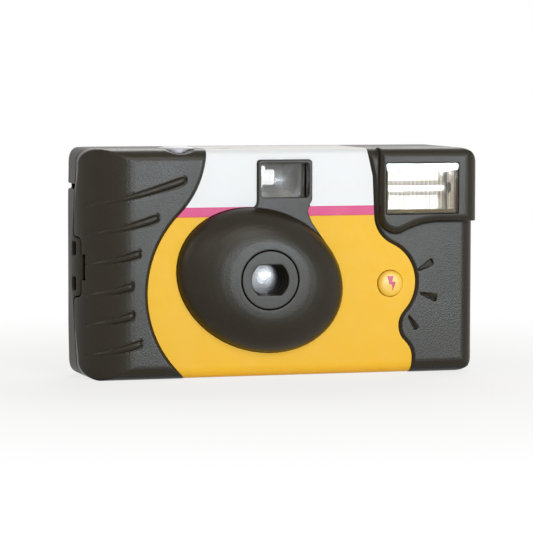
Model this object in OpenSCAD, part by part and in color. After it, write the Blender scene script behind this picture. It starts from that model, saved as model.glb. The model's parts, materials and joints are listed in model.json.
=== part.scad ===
// Single-use 35 mm film camera with a built-in flash.
// X runs to the right as the photographer's subject sees it, the front faces -Y, Z is up.

/* [Body] */
// Width over the grip and the flash corner
body_w = 116; // [116:0.5:124]
// Height of the covers
body_h = 64.5; // [64.5:0.5:70]
// Depth from the flat front face to the back
body_d = 31; // [31:0.25:34]
// Wall of both covers
wall = 1.4; // [1.2:0.1:1.4]
// Width of the open seam between the covers
seam_gap = 0.3; // [0.2:0.05:0.5]
// Bulge of the grip side in the front view
grip_barrel = 1; // [0:0.1:1.2]

/* [Front] */
// Rise of the lens dome over the flat front face
dome_rise = 7.1; // [6.6:0.1:8]
// Long half-axis of the dome outline
dome_a = 24.8; // [23.5:0.1:25.5]
// Short half-axis of the dome outline
dome_b = 19.9; // [19:0.1:20.6]
// Tilt of the dome outline
dome_tilt = -19.5; // [-24:0.5:-10]
// Step from the grip face down to the printed label
label_drop = 0.8; // [0.5:0.1:1]
// Thickness of the label
label_t = 0.2; // [0.15:0.05:0.25]
// Rise of the grip ribs
rib_rise = 0.85; // [0.4:0.05:1.2]
// Half width of a grip rib
rib_half = 1.05; // [0.8:0.05:1.2]
// Depth of the crease along each rib
rib_crease = 0.5; // [0.2:0.05:0.6]
// Width of the crease on each side of a rib
crease_w = 0.4; // [0.2:0.05:0.5]
// Depth of the rays beside the flash button
ray_depth = 0.9; // [0.5:0.05:1.1]
// Rise of the flash bezel over the front face
bezel_rise = 2.3; // [2:0.1:3]

/* [Lens and viewfinder] */
// Radius of the lens retainer disc
retainer_r = 8.15; // [7.9:0.05:8.4]
// Radius of the window in the retainer
lens_window_r = 5.35; // [4.8:0.05:5.6]
// Radius of the lens elements
lens_r = 6; // [5.6:0.1:6.1]
// Radius of the aperture stop
stop_r = 1.5; // [1:0.1:2]

/* [Flash] */
// Width of the flash window
flash_w = 21.7; // [18:0.1:22]
// Height of the flash window
flash_h = 14.4; // [12:0.1:14.6]
// Radius of the flash button
flash_button_r = 3.75; // [3.2:0.05:4]
// Rise of the shutter button's crown
button_crown = 1; // [0.6:0.1:1.5]
// Radius of the finger dish before the shutter button
finger_r = 9; // [8:0.5:11]
// Depth of the finger dish
finger_dip = 1.5; // [1:0.1:1.6]

/* [Film and battery] */
// Radius of the film cassette
cassette_r = 12.4; // [12:0.1:12.5]
// Radius of the film roll on the supply spool
roll_r = 8.8; // [6:0.1:9]
// Radius of the battery cell
cell_r = 7.2; // [6.6:0.05:7.25]
// Radius of the winding thumbwheel
wheel_r = 14.3; // [13.8:0.1:14.4]
// Notches on the rim of the thumbwheel
wheel_notches = 60; // [36:1:72]

/* [Hidden] */
$fn = 48;
eps = 0.02;
front_y = -(body_d - dome_rise) / 2 - 0.05;
back_y = front_y + body_d;
nose_y = front_y - dome_rise;
x_l = -body_w / 2;
x_r = body_w / 2;
side_r = x_r - 0.4;
top_z = body_h;
inner_front_y = front_y + 2.1;
inner_back_y = back_y - wall;
end_r = body_d / 2;
end_x = x_l + end_r;
end_y = front_y + end_r;
label_y = front_y + label_drop;
floor_y = label_y + label_t;
film_y = back_y - 2.3;
gate_y = film_y - 0.3;
deck_z = top_z - 10.3;
cas_z0 = 5;
cas_z1 = deck_z - 2.2;
lens_x = -6;
lens_z = (cas_z0 + cas_z1) / 2 - 0.5;
vf_x = 0.4;
vf_z = top_z - 8.8;
can_fit = 0.35;
cham_r = cassette_r + 1.2;
cas_x = x_l + cassette_r + 5.1;
cas_y = back_y - cassette_r - 1.75;
sup_x = x_r - 25.5;
sup_y = film_y - 0.2 - roll_r;
sup_in_r = 9.8;
spr_x = lens_x - 13;
spr_r = 6.6;
spr_y = film_y - 0.25 - spr_r;
cnt_r = 5.7;
cnt_reach = 11.05;
cnt_x = spr_x + cnt_reach * cos(70);
cnt_y = spr_y - cnt_reach * sin(70);
win_x = cnt_x;
win_y = cnt_y - 3;
str_x = spr_x - 1;
str_y = front_y + 14;
blade_x = lens_x - 8.5;
blade_z = lens_z + 6;
plate_y = front_y + 6.2;
btn_x = x_l + 28.4;
btn_y = front_y + 7;
lev_x = x_l + 33;
lev_y = front_y + 4.4;
lev_z = top_z - 7.3;
cell_x0 = lens_x - 22;
cell_len = 49.5;
cell_y = inner_front_y + 0.35 + cell_r;
cell_z = wall + 0.5 + cell_r;
fl_x = x_r - 17.35;
fl_z = top_z - 11.65;
fb_x = x_r - 26;
fb_z = lens_z - 2.2;
pcb_y = front_y + 6.9;
pcb_t = 1.2;
lamp_x = vf_x + 14.6;

// Points on an arc about c from angle a0 to a1
function arc(c, r, a0, a1, n) =
  [for (i = [0:n]) let (a = a0 + (a1 - a0) * i / n) [c[0] + r * cos(a), c[1] + r * sin(a)]];

// A list without its first item, for arcs that go on from the point before them
function rest(p) = [for (i = [1:len(p) - 1]) p[i]];

// A closed outline moved outward by d, for outlines that run clockwise
function unit(v) = v / norm(v);
function grow(p, d) = let (n = len(p))
  [for (i = [0:n - 1])
    let (e = unit(p[i] - p[(i + n - 1) % n]), f = unit(p[(i + 1) % n] - p[i]),
      a = [-e[1], e[0]], b = [-f[1], f[0]])
    p[i] + d * (a + b) / (1 + a * b)];

// A rectangle with its own radius at each corner: low-low, low-high, high-high, high-low
function round_box(u0, u1, v0, v1, r, n = 10) = concat(
  arc([u0 + r[0], v0 + r[0]], r[0], 270, 180, n), arc([u0 + r[1], v1 - r[1]], r[1], 180, 90, n),
  arc([u1 - r[2], v1 - r[2]], r[2], 90, 0, n), arc([u1 - r[3], v0 + r[3]], r[3], 360, 270, n));

// Outlines drawn in the front view, the side view and the plan
module from_front(y0, y1) {
  translate([0, y1, 0]) rotate([90, 0, 0]) linear_extrude(y1 - y0) children();
}
module from_side(x0, x1) {
  translate([x0, 0, 0]) rotate([90, 0, 90]) linear_extrude(x1 - x0) children();
}
module from_top(z0, z1) {
  translate([0, 0, z0]) linear_extrude(z1 - z0) children();
}
module box(a, b) {
  translate(a) cube(b - a);
}
module rod_y(x, y0, y1, z, r) {
  translate([x, y1, z]) rotate([90, 0, 0]) cylinder(r = r, h = y1 - y0);
}
module rod_x(x0, x1, y, z, r) {
  translate([x0, y, z]) rotate([0, 90, 0]) cylinder(r = r, h = x1 - x0);
}
module rod_z(x, y, z0, z1, r) {
  translate([x, y, z0]) cylinder(r = r, h = z1 - z0);
}

// A solid through closed rings that have the same number of points, closed by a fan at each end
function mean(p) = [for (k = [0:2]) let (s = [for (q = p) q[k]]) sum(s) / len(s)];
function sum(v, i = 0) = i >= len(v) ? 0 : v[i] + sum(v, i + 1);
module skin(rings) {
  m = len(rings);
  n = len(rings[0]);
  last = (m - 1) * n;
  pts = concat([for (r = rings) each r], [mean(rings[0]), mean(rings[m - 1])]);
  sides = [for (j = [0:m - 2], i = [0:n - 1]) let (a = j * n + i, b = j * n + (i + 1) % n)
    each [[a, b, b + n], [a, b + n, a + n]]];
  ends = [for (i = [0:n - 1]) let (k = (i + 1) % n) each [[m * n, k, i], [m * n + 1, last + i, last + k]]];
  polyhedron(pts, concat(sides, ends), convexity = 6);
}
function at_y(p, y) = [for (q = p) [q[0], y, q[1]]];
function moved(p, d) = [for (q = p) q + d];

// The outer form of the camera, drawn smaller by t, with its front face at y0
module envelope(t, y0) {
  side_h = top_z / 2 - 6;
  bar_r = (side_h * side_h + grip_barrel * grip_barrel) / (2 * max(grip_barrel, 0.05));
  bar_a = asin(side_h / bar_r);
  grip_r = end_r - t - 0.5;
  lo = t;
  hi = top_z - t;
  in = grip_barrel;
  intersection() {
    from_front(nose_y, back_y + 1) polygon(concat(
      arc([x_l + in + 5, lo + 5 - t], 5 - t, 270, 180, 8),
      arc([x_l + bar_r + t, top_z / 2], bar_r, 180 + bar_a, 180 - bar_a, 14),
      arc([x_l + in + 4, hi - 4 + t], 4 - t, 180, 90, 8),
      arc([side_r - 6, hi - 6 + t], 6 - t, 90, 0, 8),
      arc([side_r - 5.5, lo + 5.5 - t], 5.5 - t, 360, 270, 8)));
    from_side(x_l - 1, x_r + 1) polygon(round_box(y0, back_y - t, lo, hi,
      [4 - t, max(0.3, 3.6 - 1.75 * t), 3 - t, 3 - t], 8));
    from_top(-1, top_z + 1) polygon(round_box(x_l + t, side_r - t, y0, back_y - t,
      [grip_r, grip_r, 5 - t, 4.5 - t], 18));
  }
}

// Outline of the printed label: an S along the grip and a scallop round the flash button
s_low = [lens_x - 2.1, lens_z - 3.9];
s_low_r = 31.3;
s_high = [x_l + 9.6, top_z + 0.3];
s_high_r = norm(s_high - s_low) - s_low_r;
s_turn = atan2(s_high[1] - s_low[1], s_high[0] - s_low[0]);
scal = [fb_x - 4.3, fb_z + 0.4];
scal_r = 12;
scal_up = [scal[0] + 21 * cos(66), scal[1] + 21 * sin(66)];
scal_dn = [scal[0] + 18 * cos(-43.9), scal[1] + 18 * sin(-43.9)];
scal_end = [scal_dn[0] + 12.4 * cos(228), scal_dn[1] + 12.4 * sin(228)];
label_line = concat(
  [[s_low[0] - 18.1, -2]], arc(s_low, s_low_r, 226, s_turn, 22),
  rest(arc(s_high, s_high_r, s_turn - 180, 0, 12)),
  [[s_high[0] + s_high_r, top_z + 2], [scal_up[0] - 11, top_z + 2], [scal_up[0] - 11, top_z - 1.5]],
  [[scal_up[0] - 9.5, top_z - 8]], arc(scal_up, 9, 180, 246, 8), rest(arc(scal, scal_r, 66, -43.9, 16)),
  rest(arc(scal_dn, 6, 136.1, 228, 8)), rest(arc(scal_end, 6.4, 48, -6, 6)), [[scal_end[0] + 6.2, -2]]);

// Dome outlines: t is 1 at the foot and 0 at the flat round the lens
function dome_ring(t, d = 0, n = 64) = let (c = [lens_x - 0.64, lens_z - 0.55],
    a = 9.3 + (dome_a - 9.3) * t + d, b = 9.3 + (dome_b - 9.3) * t + d,
    ct = cos(dome_tilt), st = sin(dome_tilt))
  [for (i = [0:n - 1]) let (w = -360 * i / n, p = [a * cos(w), b * sin(w)])
    [lens_x + (c[0] - lens_x) * t + ct * p[0] - st * p[1],
     lens_z + (c[1] - lens_z) * t + st * p[0] + ct * p[1]]];

// Plate that joins the viewfinder window and the dome
neck_line = concat([[lens_x - 7, lens_z + 12]], arc([vf_x - 10, vf_z - 6], 2.1, 270, 360, 5),
  arc([vf_x - 7.1, vf_z + 4.7], 0.8, 180, 90, 3), arc([vf_x + 7.2, vf_z + 4.7], 0.8, 90, 0, 3),
  arc([vf_x + 6, vf_z - 5.3], 2, 0, -55, 4), arc([vf_x + 8.6, vf_z - 8.9], 1.9, 130, 205, 4),
  [[vf_x + 7.9, vf_z - 12.1], [vf_x + 10.3, vf_z - 15.5]],
  [for (d = [[20.5, 7], [22.4, 3.2], [16, -2]]) [lens_x, lens_z] + d]);

// Flash bezel outline, running past the top and the right side
bez = [fl_x - 7.35, top_z - 19.2];
bez_in = [bez[0] + 13.2, bez[1] - 25.7];
bez_a = atan2(-25.7, 13.2);
bezel_line = concat([[x_r + 4, top_z - 21.1], [bez_in[0], bez_in[1] + 23.8]],
  rest(arc(bez_in, 23.8, 90, 180 + bez_a, 6)), rest(arc(bez, 5.1, bez_a, -180, 12)),
  [[bez[0] - 5.1, top_z + 4], [x_r + 4, top_z + 4]]);

module bezel() {
  fil = 1.6;
  steps = [for (a = [0:22.5:90]) a];
  intersection() {
    skin(concat([at_y(bezel_line, inner_front_y)],
      [for (a = steps) at_y(moved(grow(bezel_line, -fil * (1 - cos(a))), [-0.45, 0.35] * (1 - cos(a))),
        front_y - bezel_rise + fil - fil * sin(a))]));
    from_front(nose_y, 0) polygon(round_box(10, x_r, 0, top_z, [1, 1, 6, 1], 8));
    from_side(10, x_r + 1) polygon(round_box(front_y - bezel_rise, back_y, 0, top_z, [1, 2.8, 1, 1], 8));
    from_top(0, top_z + 1) polygon(round_box(10, x_r, front_y - bezel_rise, back_y, [1, 1, 1, 4.5], 8));
  }
}

module dome() {
  skin(concat([at_y(dome_ring(1), inner_front_y - 0.2)],
    [for (a = [90:-9:0]) at_y(dome_ring(sin(a)), nose_y + (dome_rise + label_drop) * (1 - cos(a)))]));
}

// One raised grip rib that tapers to nothing round the side
function grip_y(x) = x > end_x ? front_y
  : front_y + end_r - sqrt(max(0, end_r * end_r - (end_x - x) * (end_x - x)));
function rib_ring(c, n, w, up, down) = [for (i = [0:7])
  let (a = 45 * i, h = sin(a) * (sin(a) > 0 ? up : down))
  [c[0] + n[0] * h, c[1] + n[1] * h, c[2] + w * cos(a)]];
module rib(right, left, half, up, down) {
  stops = [0, 0.008, 0.03, 0.08, 0.2, 0.35, 0.5, 0.65, 0.8, 0.92, 1];
  caps = [0.25, 0.62, 0.9, 1, 0.95, 0.85, 0.74, 0.62, 0.46, 0.3, 0.18];
  skin([for (i = [0:10])
    let (t = stops[i], x = right[0] + (left[0] - right[0]) * t,
      z = right[1] + (left[1] - right[1]) * (1 - (1 - t) * (1 - t) * 0.25 - (1 - t) * 0.75),
      y = grip_y(x), bend = min(1, max(0, (end_x - x) / end_r)), n = [-bend, -sqrt(1 - bend * bend)])
    rib_ring([x, y, z], n, half * caps[i] + 0.05, up * caps[i] + 0.03, down * caps[i] + 0.03)]);
}
ribs = [for (r = [[29.4, 28, 20.8], [21.5, 17.5, 12.6], [16.3, 7.6, 4.3], [14.2, -1.4, -4.2],
  [14.4, -9.5, -12.6], [16.7, -17.4, -21.1]]) [[x_l + r[0], lens_z + r[1]], [x_l + 3, lens_z + r[2]]]];

// One sunk ray beside the flash button: deep along one edge, level with the face along the other
module ray(p0, deep0, flat0) {
  out_y = front_y - 0.6;
  p = [fb_x, fb_z] + p0;
  deep = [fb_x, fb_z] + deep0;
  flat = [fb_x, fb_z] + flat0;
  faces = [[0, 2, 1], [3, 4, 5], [0, 1, 4], [0, 4, 3], [1, 2, 5], [1, 5, 4], [2, 0, 3], [2, 3, 5]];
  turned = cross(deep - p, flat - p) > 0;
  polyhedron([[p[0], out_y, p[1]], [deep[0], out_y, deep[1]], [flat[0], out_y, flat[1]],
    [p[0], front_y + 0.6, p[1]], [deep[0], front_y + ray_depth, deep[1]], [flat[0], front_y - eps, flat[1]]],
    turned ? faces : [for (f = faces) [f[2], f[1], f[0]]]);
}

// Latch tongue of the rear cover in the side view
tongue_z = lens_z + 3.5;
tongue_line = concat([[2, tongue_z - 9.6]], arc([-1.25, tongue_z - 9.6], 1.4, 0, 90, 4),
  arc([-1.9, tongue_z - 6.8], 1.4, 270, 180, 4), arc([-1.9, tongue_z + 6.8], 1.4, 180, 90, 4),
  arc([-1.25, tongue_z + 9.6], 1.4, 270, 360, 4), [[2, tongue_z + 9.6]]);

module oval(rx, ry) {
  polygon([for (i = [0:47]) [rx * cos(-7.5 * i), ry * sin(-7.5 * i)]]);
}

label_x0 = s_high[0] + s_high_r;
label_x1 = scal_up[0] - 11;
label_end_y = back_y - 3.2;
module label_core(d) {
  from_side(x_l - 2, x_r + 2) polygon(round_box(floor_y - d, back_y + 5, 0.3 - d, top_z - 0.3 + d,
    [3.4 + d, 2 + d, 1, 1], 8));
}

// Front half of the covers, with the dome, the grip and the flash bezel
module front_cover() {
  color([0.24, 0.24, 0.24]) difference() {
    union() {
      difference() {
        envelope(0, front_y);
        envelope(wall, inner_front_y);
        difference() {
          skin([at_y(label_line, 6), at_y(label_line, label_y),
            at_y(grow(label_line, 0.7), front_y), at_y(grow(label_line, 0.7), front_y - 2)]);
          label_core(0);
        }
        for (r = ribs)
          rib(r[0] + [crease_w, 0], r[1] - [crease_w, 0], rib_half + crease_w, 4, rib_crease);
      }
      dome();
      from_front(front_y - 0.3, inner_front_y) polygon(neck_line);
      bezel();
      for (r = ribs) rib(r[0], r[1], rib_half, rib_rise, 1);
    }
    box([x_l - 2, -seam_gap / 2, -1], [x_r + 2, back_y + 2, top_z + 2]);
    // Bore for the lens retainer, and the room behind the dome
    rod_y(lens_x, nose_y - 1, 0, lens_z, retainer_r + 0.25);
    rod_y(lens_x, front_y - 1, 0, lens_z, 11);
    // Windows for the viewfinder and the flash
    from_front(nose_y, 0)
      polygon(round_box(vf_x - 7, vf_x + 7, vf_z - 5, vf_z + 4.6, [0.8, 0.8, 0.8, 0.8], 3));
    box([fl_x - flash_w / 2, nose_y, fl_z - flash_h / 2], [fl_x + flash_w / 2, 0, fl_z + flash_h / 2]);
    envelope_room();
    // Flash button, its rays, shutter button and counter window
    rod_y(fb_x, nose_y, 0, fb_z, flash_button_r + 0.25);
    ray([7.4, 3.2], [12.3, 6.9], [13, 4.9]);
    ray([8, -2.7], [13.6, -5.4], [14.2, -3.4]);
    ray([4.7, -8.4], [7.3, -13.4], [8.7, -12.8]);
    from_top(top_z - 5, top_z + 2) translate([btn_x, btn_y]) oval(6, 3.9);
    translate([btn_x, front_y + 0.5, top_z + finger_r - finger_dip]) sphere(finger_r);
    rod_z(win_x, win_y, top_z - 5, top_z + 2, 2.3);
    // Room for the latch tongue of the rear cover and the pry notch before it
    from_side(x_l - 1, x_l + 6) polygon(grow(tongue_line, seam_gap));
    box([x_l - 1, -5, tongue_z - 3.6], [x_l + 5, -3.4, tongue_z + 3.6]);
    cassette_door();
  }
}
// Keeps the inside of the bezel and the neck hollow
module envelope_room() {
  box([fl_x - 11.5, front_y + 0.4, fl_z - 8], [side_r - wall - 1, inner_front_y + 1, fl_z + 8]);
}

// Rear half of the covers, with the latch tongue, the wheel slot and the eyepiece
module rear_cover() {
  slot_z0 = deck_z - 0.5;
  slot_z1 = deck_z + 6;
  color([0.22, 0.22, 0.22]) difference() {
    union() {
      difference() {
        union() {
          difference() {
            envelope(0, front_y);
            envelope(wall, inner_front_y);
            box([x_l - 2, nose_y, -1], [x_r + 2, seam_gap / 2, top_z + 2]);
          }
          // Locating lip that slides inside the front cover
          intersection() {
            difference() {
              envelope(wall + 0.1, inner_front_y);
              envelope(wall + 0.9, inner_front_y + 1);
            }
            box([x_r - 31, -1.8, -1], [x_r + 1, 2.5, top_z + 1]);
          }
          intersection() {
            difference() {
              envelope(wall - 0.2, inner_front_y);
              envelope(wall + 0.9, inner_front_y + 1);
            }
            box([x_r - 31, 0.6, -1], [x_r + 1, 2.5, top_z + 1]);
          }
          intersection() {
            difference() {
              envelope(0, front_y);
              envelope(wall, inner_front_y);
            }
            from_side(x_l - 1, x_l + 6) polygon(tongue_line);
          }
        }
        // Windows in the root of the tongue, and the slot in the side
        box([x_l - 1, -1, tongue_z + 3.2], [x_l + 6, 1.1, tongue_z + 7]);
        box([x_l - 1, -1, tongue_z - 6.6], [x_l + 6, 1.1, tongue_z - 2.8]);
        box([x_l - 1, 0.7, deck_z - 1.1], [x_l + 4.2, 12, deck_z + 0.3]);
      }
      // Rails that press the film to its track
      for (z = [lens_z - 14.6, lens_z + 13.4])
        box([lens_x - 17, film_y + 0.25, z], [lens_x + 17, inner_back_y + 0.3, z + 1.2]);
    }
    // Step for the label, slot for the rim of the thumbwheel, with a thumb scoop
    box([label_x0, -1, top_z - 0.3], [label_x1, label_end_y, top_z + 1]);
    box([cas_x - 12, cas_y + 8, slot_z0], [cas_x + 8.5, back_y + 2, slot_z1]);
    rod_x(cas_x - 9, cas_x + 7, back_y + 3.1, (slot_z0 + slot_z1) / 2, 4.9);
    from_front(0, back_y + 1) polygon(round_box(vf_x - 4.6, vf_x + 4.6, vf_z - 3.9, vf_z + 3.9,
      [1, 1, 1, 1], 4));
    rod_y(lamp_x, inner_back_y - 1, back_y + 1, vf_z + 0.3, 1.8);
    // Dished rim of the eyepiece, thumb grooves and the cassette door
    from_front(back_y - 0.5, back_y + 1) polygon(round_box(vf_x - 6.6, vf_x + 6.6, vf_z - 5.6, vf_z + 5.6,
      [2, 2, 2, 2], 6));
    for (i = [0:5]) from_front(back_y - 0.5, back_y + 1)
      polygon(round_box(cas_x - 7, cas_x + 8, 12.4 + 6 * i, 14 + 6 * i, [0.7, 0.7, 0.7, 0.7], 4));
    cassette_door();
  }
}

// Fine groove round the cassette door in the bottom, with a finger notch
module cassette_door() {
  difference() {
    rod_z(cas_x, cas_y, -1, 0.4, 11.2);
    rod_z(cas_x, cas_y, -2, 1, 10.7);
  }
  box([cas_x - 4, cas_y + 7.2, -1], [cas_x + 4, cas_y + 8.8, 0.6]);
}

// Printed label round the front, the top and the bottom
module wrap_label() {
  color([0.95, 0.78, 0.25]) difference() {
    union() {
      intersection() {
        from_front(front_y, -0.6) polygon(grow(label_line, -0.12));
        difference() {
          label_core(label_t);
          label_core(eps);
        }
        box([x_l, nose_y, 0], [x_r, -0.6, top_z]);
      }
      box([label_x0 + 0.12, -1, top_z - 0.3 + eps],
        [label_x1 - 0.12, label_end_y - 0.1, top_z - 0.3 + label_t]);
    }
    from_front(nose_y, floor_y + 0.5) polygon(dome_ring(1, 0.15));
    from_front(nose_y, floor_y + 0.5) polygon(grow(neck_line, 0.15));
    rod_y(fb_x, nose_y, floor_y + 1, fb_z, flash_button_r + 0.15);
    rod_z(win_x, win_y, top_z - 5, top_z + 2, 2.45);
  }
}

// A four-sided tunnel between two rectangles given by half sizes
module taper(a, ya, b, yb) {
  function rect(h, y) = [for (s = [[-1, -1], [-1, 1], [1, 1], [1, -1]])
    [lens_x + s[0] * h[0], y, lens_z + s[1] * h[1]]];
  skin([rect(b, yb), rect(a, ya)]);
}

// Moulded frame: light box, film track, chambers, deck and the posts of the mechanism
module main_frame() {
  color([0.16, 0.16, 0.17]) difference() {
    union() {
      taper([3.8, 3.2], plate_y + 0.5, [19, 13], gate_y - 0.5);
      box([lens_x - 14, plate_y, lens_z - 10.5], [lens_x + 14, plate_y + 1, lens_z + 16]);
      box([lens_x - 20, plate_y, lens_z + 15], [lens_x - 4, plate_y + 1, deck_z]);
      box([lens_x - 21, gate_y - 1.8, lens_z - 19.5], [x_r - 32.6, gate_y, deck_z]);
      box([cas_x, front_y + 4.8, deck_z - 1.2], [vf_x - 9.4, gate_y, deck_z]);
      rod_z(cas_x, cas_y, deck_z - 1.2, deck_z, cham_r);
      // Cassette chamber and its floor
      difference() {
        rod_z(cas_x, cas_y, cas_z0 - 1.4, deck_z - 0.5, cham_r);
        box([x_l, cas_y + 6, 0], [cas_x + 20, back_y, deck_z - 1.2]);
      }
      // Supply chamber with its end plates
      difference() {
        rod_z(sup_x, sup_y, lens_z - 19.7, lens_z + 19.7, sup_in_r + 1);
        rod_z(sup_x, sup_y, lens_z - 18.6, lens_z + 18.6, sup_in_r);
        box([sup_x - 12, gate_y - 0.8, lens_z - 18.6], [sup_x + 12, back_y, lens_z + 18.6]);
      }
      for (s = [-1, 1])
        translate([sup_x, sup_y, lens_z + s * 19.7]) mirror([0, 0, s > 0 ? 1 : 0])
          cylinder(r = 1.5, h = 3.2);
      // Seat for the viewfinder tube
      box([vf_x - 10, gate_y - 8, vf_z - 7.8], [vf_x + 9, gate_y, vf_z - 6.65]);
      // Boss for the sprocket, posts for the counter, the keeper and the striker
      rod_z(spr_x, spr_y, deck_z - 4, deck_z, 3);
      box([spr_x - 3, spr_y, deck_z - 4], [spr_x + 3, gate_y, deck_z]);
      rod_z(cnt_x, cnt_y, deck_z - 1, deck_z + 6.1, 1.2);
      rod_z(cnt_x, cnt_y, deck_z - 1, deck_z + 4.2, 2.2);
      for (p = [[spr_x + 7.5, spr_y + 1], [str_x - 4.2, str_y - 0.5]])
        rod_z(p[0], p[1], deck_z - 1, deck_z + 6.2, 1.3);
      rod_z(str_x, str_y, deck_z - 1, deck_z + 2.4, 1.2);
      // Ears of the release lever
      for (y = [lev_y - 0.9, lev_y + 2.1])
        box([lev_x - 1.1, y, deck_z - 1], [lev_x + 1.1, y + 0.8, lev_z + 1.4]);
      box([lev_x - 1.1, lev_y - 0.9, deck_z - 1.2], [lev_x + 1.1, lev_y + 4, deck_z]);
      // Pin of the shutter blade, and the bosses of the lens board
      rod_y(blade_x, plate_y - 2.9, plate_y + 0.5, blade_z, 0.9);
      for (p = [[8.5, -8], [8.5, 8], [-4.8, -9.2]])
        rod_y(lens_x + p[0], plate_y - 1.2, plate_y + 0.5, lens_z + p[1], 1.3);
      // Roof over the battery, and the bosses behind the circuit board
      box([lens_x - 14, plate_y, lens_z - 11.2], [lens_x + 14, cell_y + 7, lens_z - 10.2]);
      for (x = [sup_x - 4, sup_x + 3])
        rod_y(x, pcb_y + pcb_t, sup_y - 9.4, lens_z + 14, 1.4);
    }
    taper([2.6, 2], plate_y - 0.5, [18, 12], gate_y + 0.5);
    rod_y(lens_x, plate_y - 1, plate_y + 3, lens_z, 2);
    box([lens_x - 18, gate_y - 3, lens_z - 12], [lens_x + 18, gate_y + 1, lens_z + 12]);
    rod_z(cas_x, cas_y, cas_z0 - 0.2, deck_z - 1.2, cassette_r + can_fit);
    rod_z(cas_x, cas_y, 0, top_z, 3.06);
    rod_z(cas_x, cas_y, 0, cas_z0, 7);
    rod_z(spr_x, spr_y, deck_z - 6, deck_z + 1, 1.56);
    // Clear of the back wall
    box([x_l, inner_back_y - 0.5, 0], [x_r, back_y + 5, top_z]);
    // Window in the track for the sprocket teeth
    box([spr_x - 6, gate_y - 4, lens_z + 12.9], [spr_x + 6, gate_y + 1, lens_z + 15.4]);
    rod_y(lev_x, lev_y - 2, lev_y + 4, lev_z, 0.86);
    // Room for the viewfinder tube over its seat
    box([vf_x - 9.1, gate_y - 3, vf_z - 6.65], [vf_x + 9.1, gate_y + 1, top_z]);
    // Bay for the battery
    box([cell_x0 - 0.9, inner_front_y - 1, 0], [cell_x0 + 52, cell_y + cell_r + 0.3, cell_z + cell_r + 0.3]);
  }
}

// Square tube behind the viewfinder window
module viewfinder_tube() {
  y0 = inner_front_y + 0.2;
  y1 = gate_y + 0.2;
  color([0.13, 0.13, 0.14]) difference() {
    box([vf_x - 8.9, y0, vf_z - 6.6], [vf_x + 8.9, y1, vf_z + 6.4]);
    box([vf_x - 7.9, y0 - 1, vf_z - 5.6], [vf_x + 7.9, y1 - 1.5, vf_z + 5.5]);
    box([vf_x - 4.6, y0, vf_z - 3.9], [vf_x + 4.6, y1 + 1, vf_z + 3.9]);
  }
}

// Plate over the counter and the sprocket
module mechanism_keeper() {
  color([0.3, 0.3, 0.31]) difference() {
    box([str_x - 5.6, cnt_y - 6.2, deck_z + 6.2], [vf_x - 9.2, spr_y + 3.2, deck_z + 7]);
    rod_z(spr_x, spr_y, deck_z, top_z, 1.56);
    rod_z(win_x, win_y, deck_z, top_z, 2.6);
    box([str_x - 7, cnt_y - 7, deck_z], [str_x, str_y - 3, top_z]);
  }
}

// Plate with the barrel for the lens elements
module lens_board() {
  y1 = plate_y - 1.2;
  color([0.1, 0.1, 0.11]) difference() {
    union() {
      from_front(y1 - 1, y1) polygon(round_box(lens_x - 6.2, lens_x + 10.2, lens_z - 10.8, lens_z + 9.6,
        [2, 2, 2, 2], 4));
      rod_y(lens_x, y1 - 6.2, y1, lens_z, lens_r + 1.4);
    }
    rod_y(lens_x, y1 - 7, y1 - 1, lens_z, lens_r + 0.1);
    rod_y(lens_x, y1 - 2, y1 + 1, lens_z, 3);
  }
}

// Disc in the nose of the dome, with a stepped window down to the lens
module lens_retainer() {
  y1 = plate_y - 1.2 - 6.2;
  color([0.15, 0.15, 0.15]) difference() {
    union() {
      rod_y(lens_x, nose_y, nose_y + 1.2, lens_z, retainer_r);
      rod_y(lens_x, nose_y + 1, y1 + 1.2, lens_z, retainer_r - 0.25);
    }
    rod_y(lens_x, y1 - eps, y1 + 2, lens_z, lens_r + 1.5);
    intersection() {
      union() for (i = [0:3])
        rod_y(lens_x, nose_y - 1, nose_y + 1.5 + 1.55 * i, lens_z, lens_window_r - 0.32 * i);
      box([lens_x - 9, nose_y - 1, lens_z - 4.25], [lens_x + 9, y1 + 2, lens_z + 4.25]);
    }
  }
}

// Turned lens: bulge b0 at the front and b1 at the back of a rim from y0 to y1
module lens(r, y0, y1, b0, b1) {
  function face(y, b) = [for (i = [0:8]) let (t = i / 8) [r * t, y + b * (1 - t * t)]];
  back_face = face(y1, b1);
  translate([lens_x, 0, lens_z]) rotate([-90, 0, 0]) rotate_extrude()
    polygon(concat(face(y0, b0), [for (i = [8:-1:0]) back_face[i]]));
}
module front_lens() {
  y = plate_y - 7.2;
  color([0.75, 0.85, 0.95, 0.5]) lens(lens_r, y + 0.35, y + 2.2, -0.9, -0.4);
}
module aperture_stop() {
  y = plate_y - 5;
  color([0.05, 0.05, 0.05]) difference() {
    rod_y(lens_x, y + 0.02, y + 0.7, lens_z, lens_r);
    rod_y(lens_x, y - 1, y + 2, lens_z, stop_r);
  }
}
module rear_lens() {
  y = plate_y - 4.25;
  color([0.75, 0.85, 0.95, 0.5]) lens(lens_r, y, y + 1.9, 0.3, 0);
}

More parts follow.
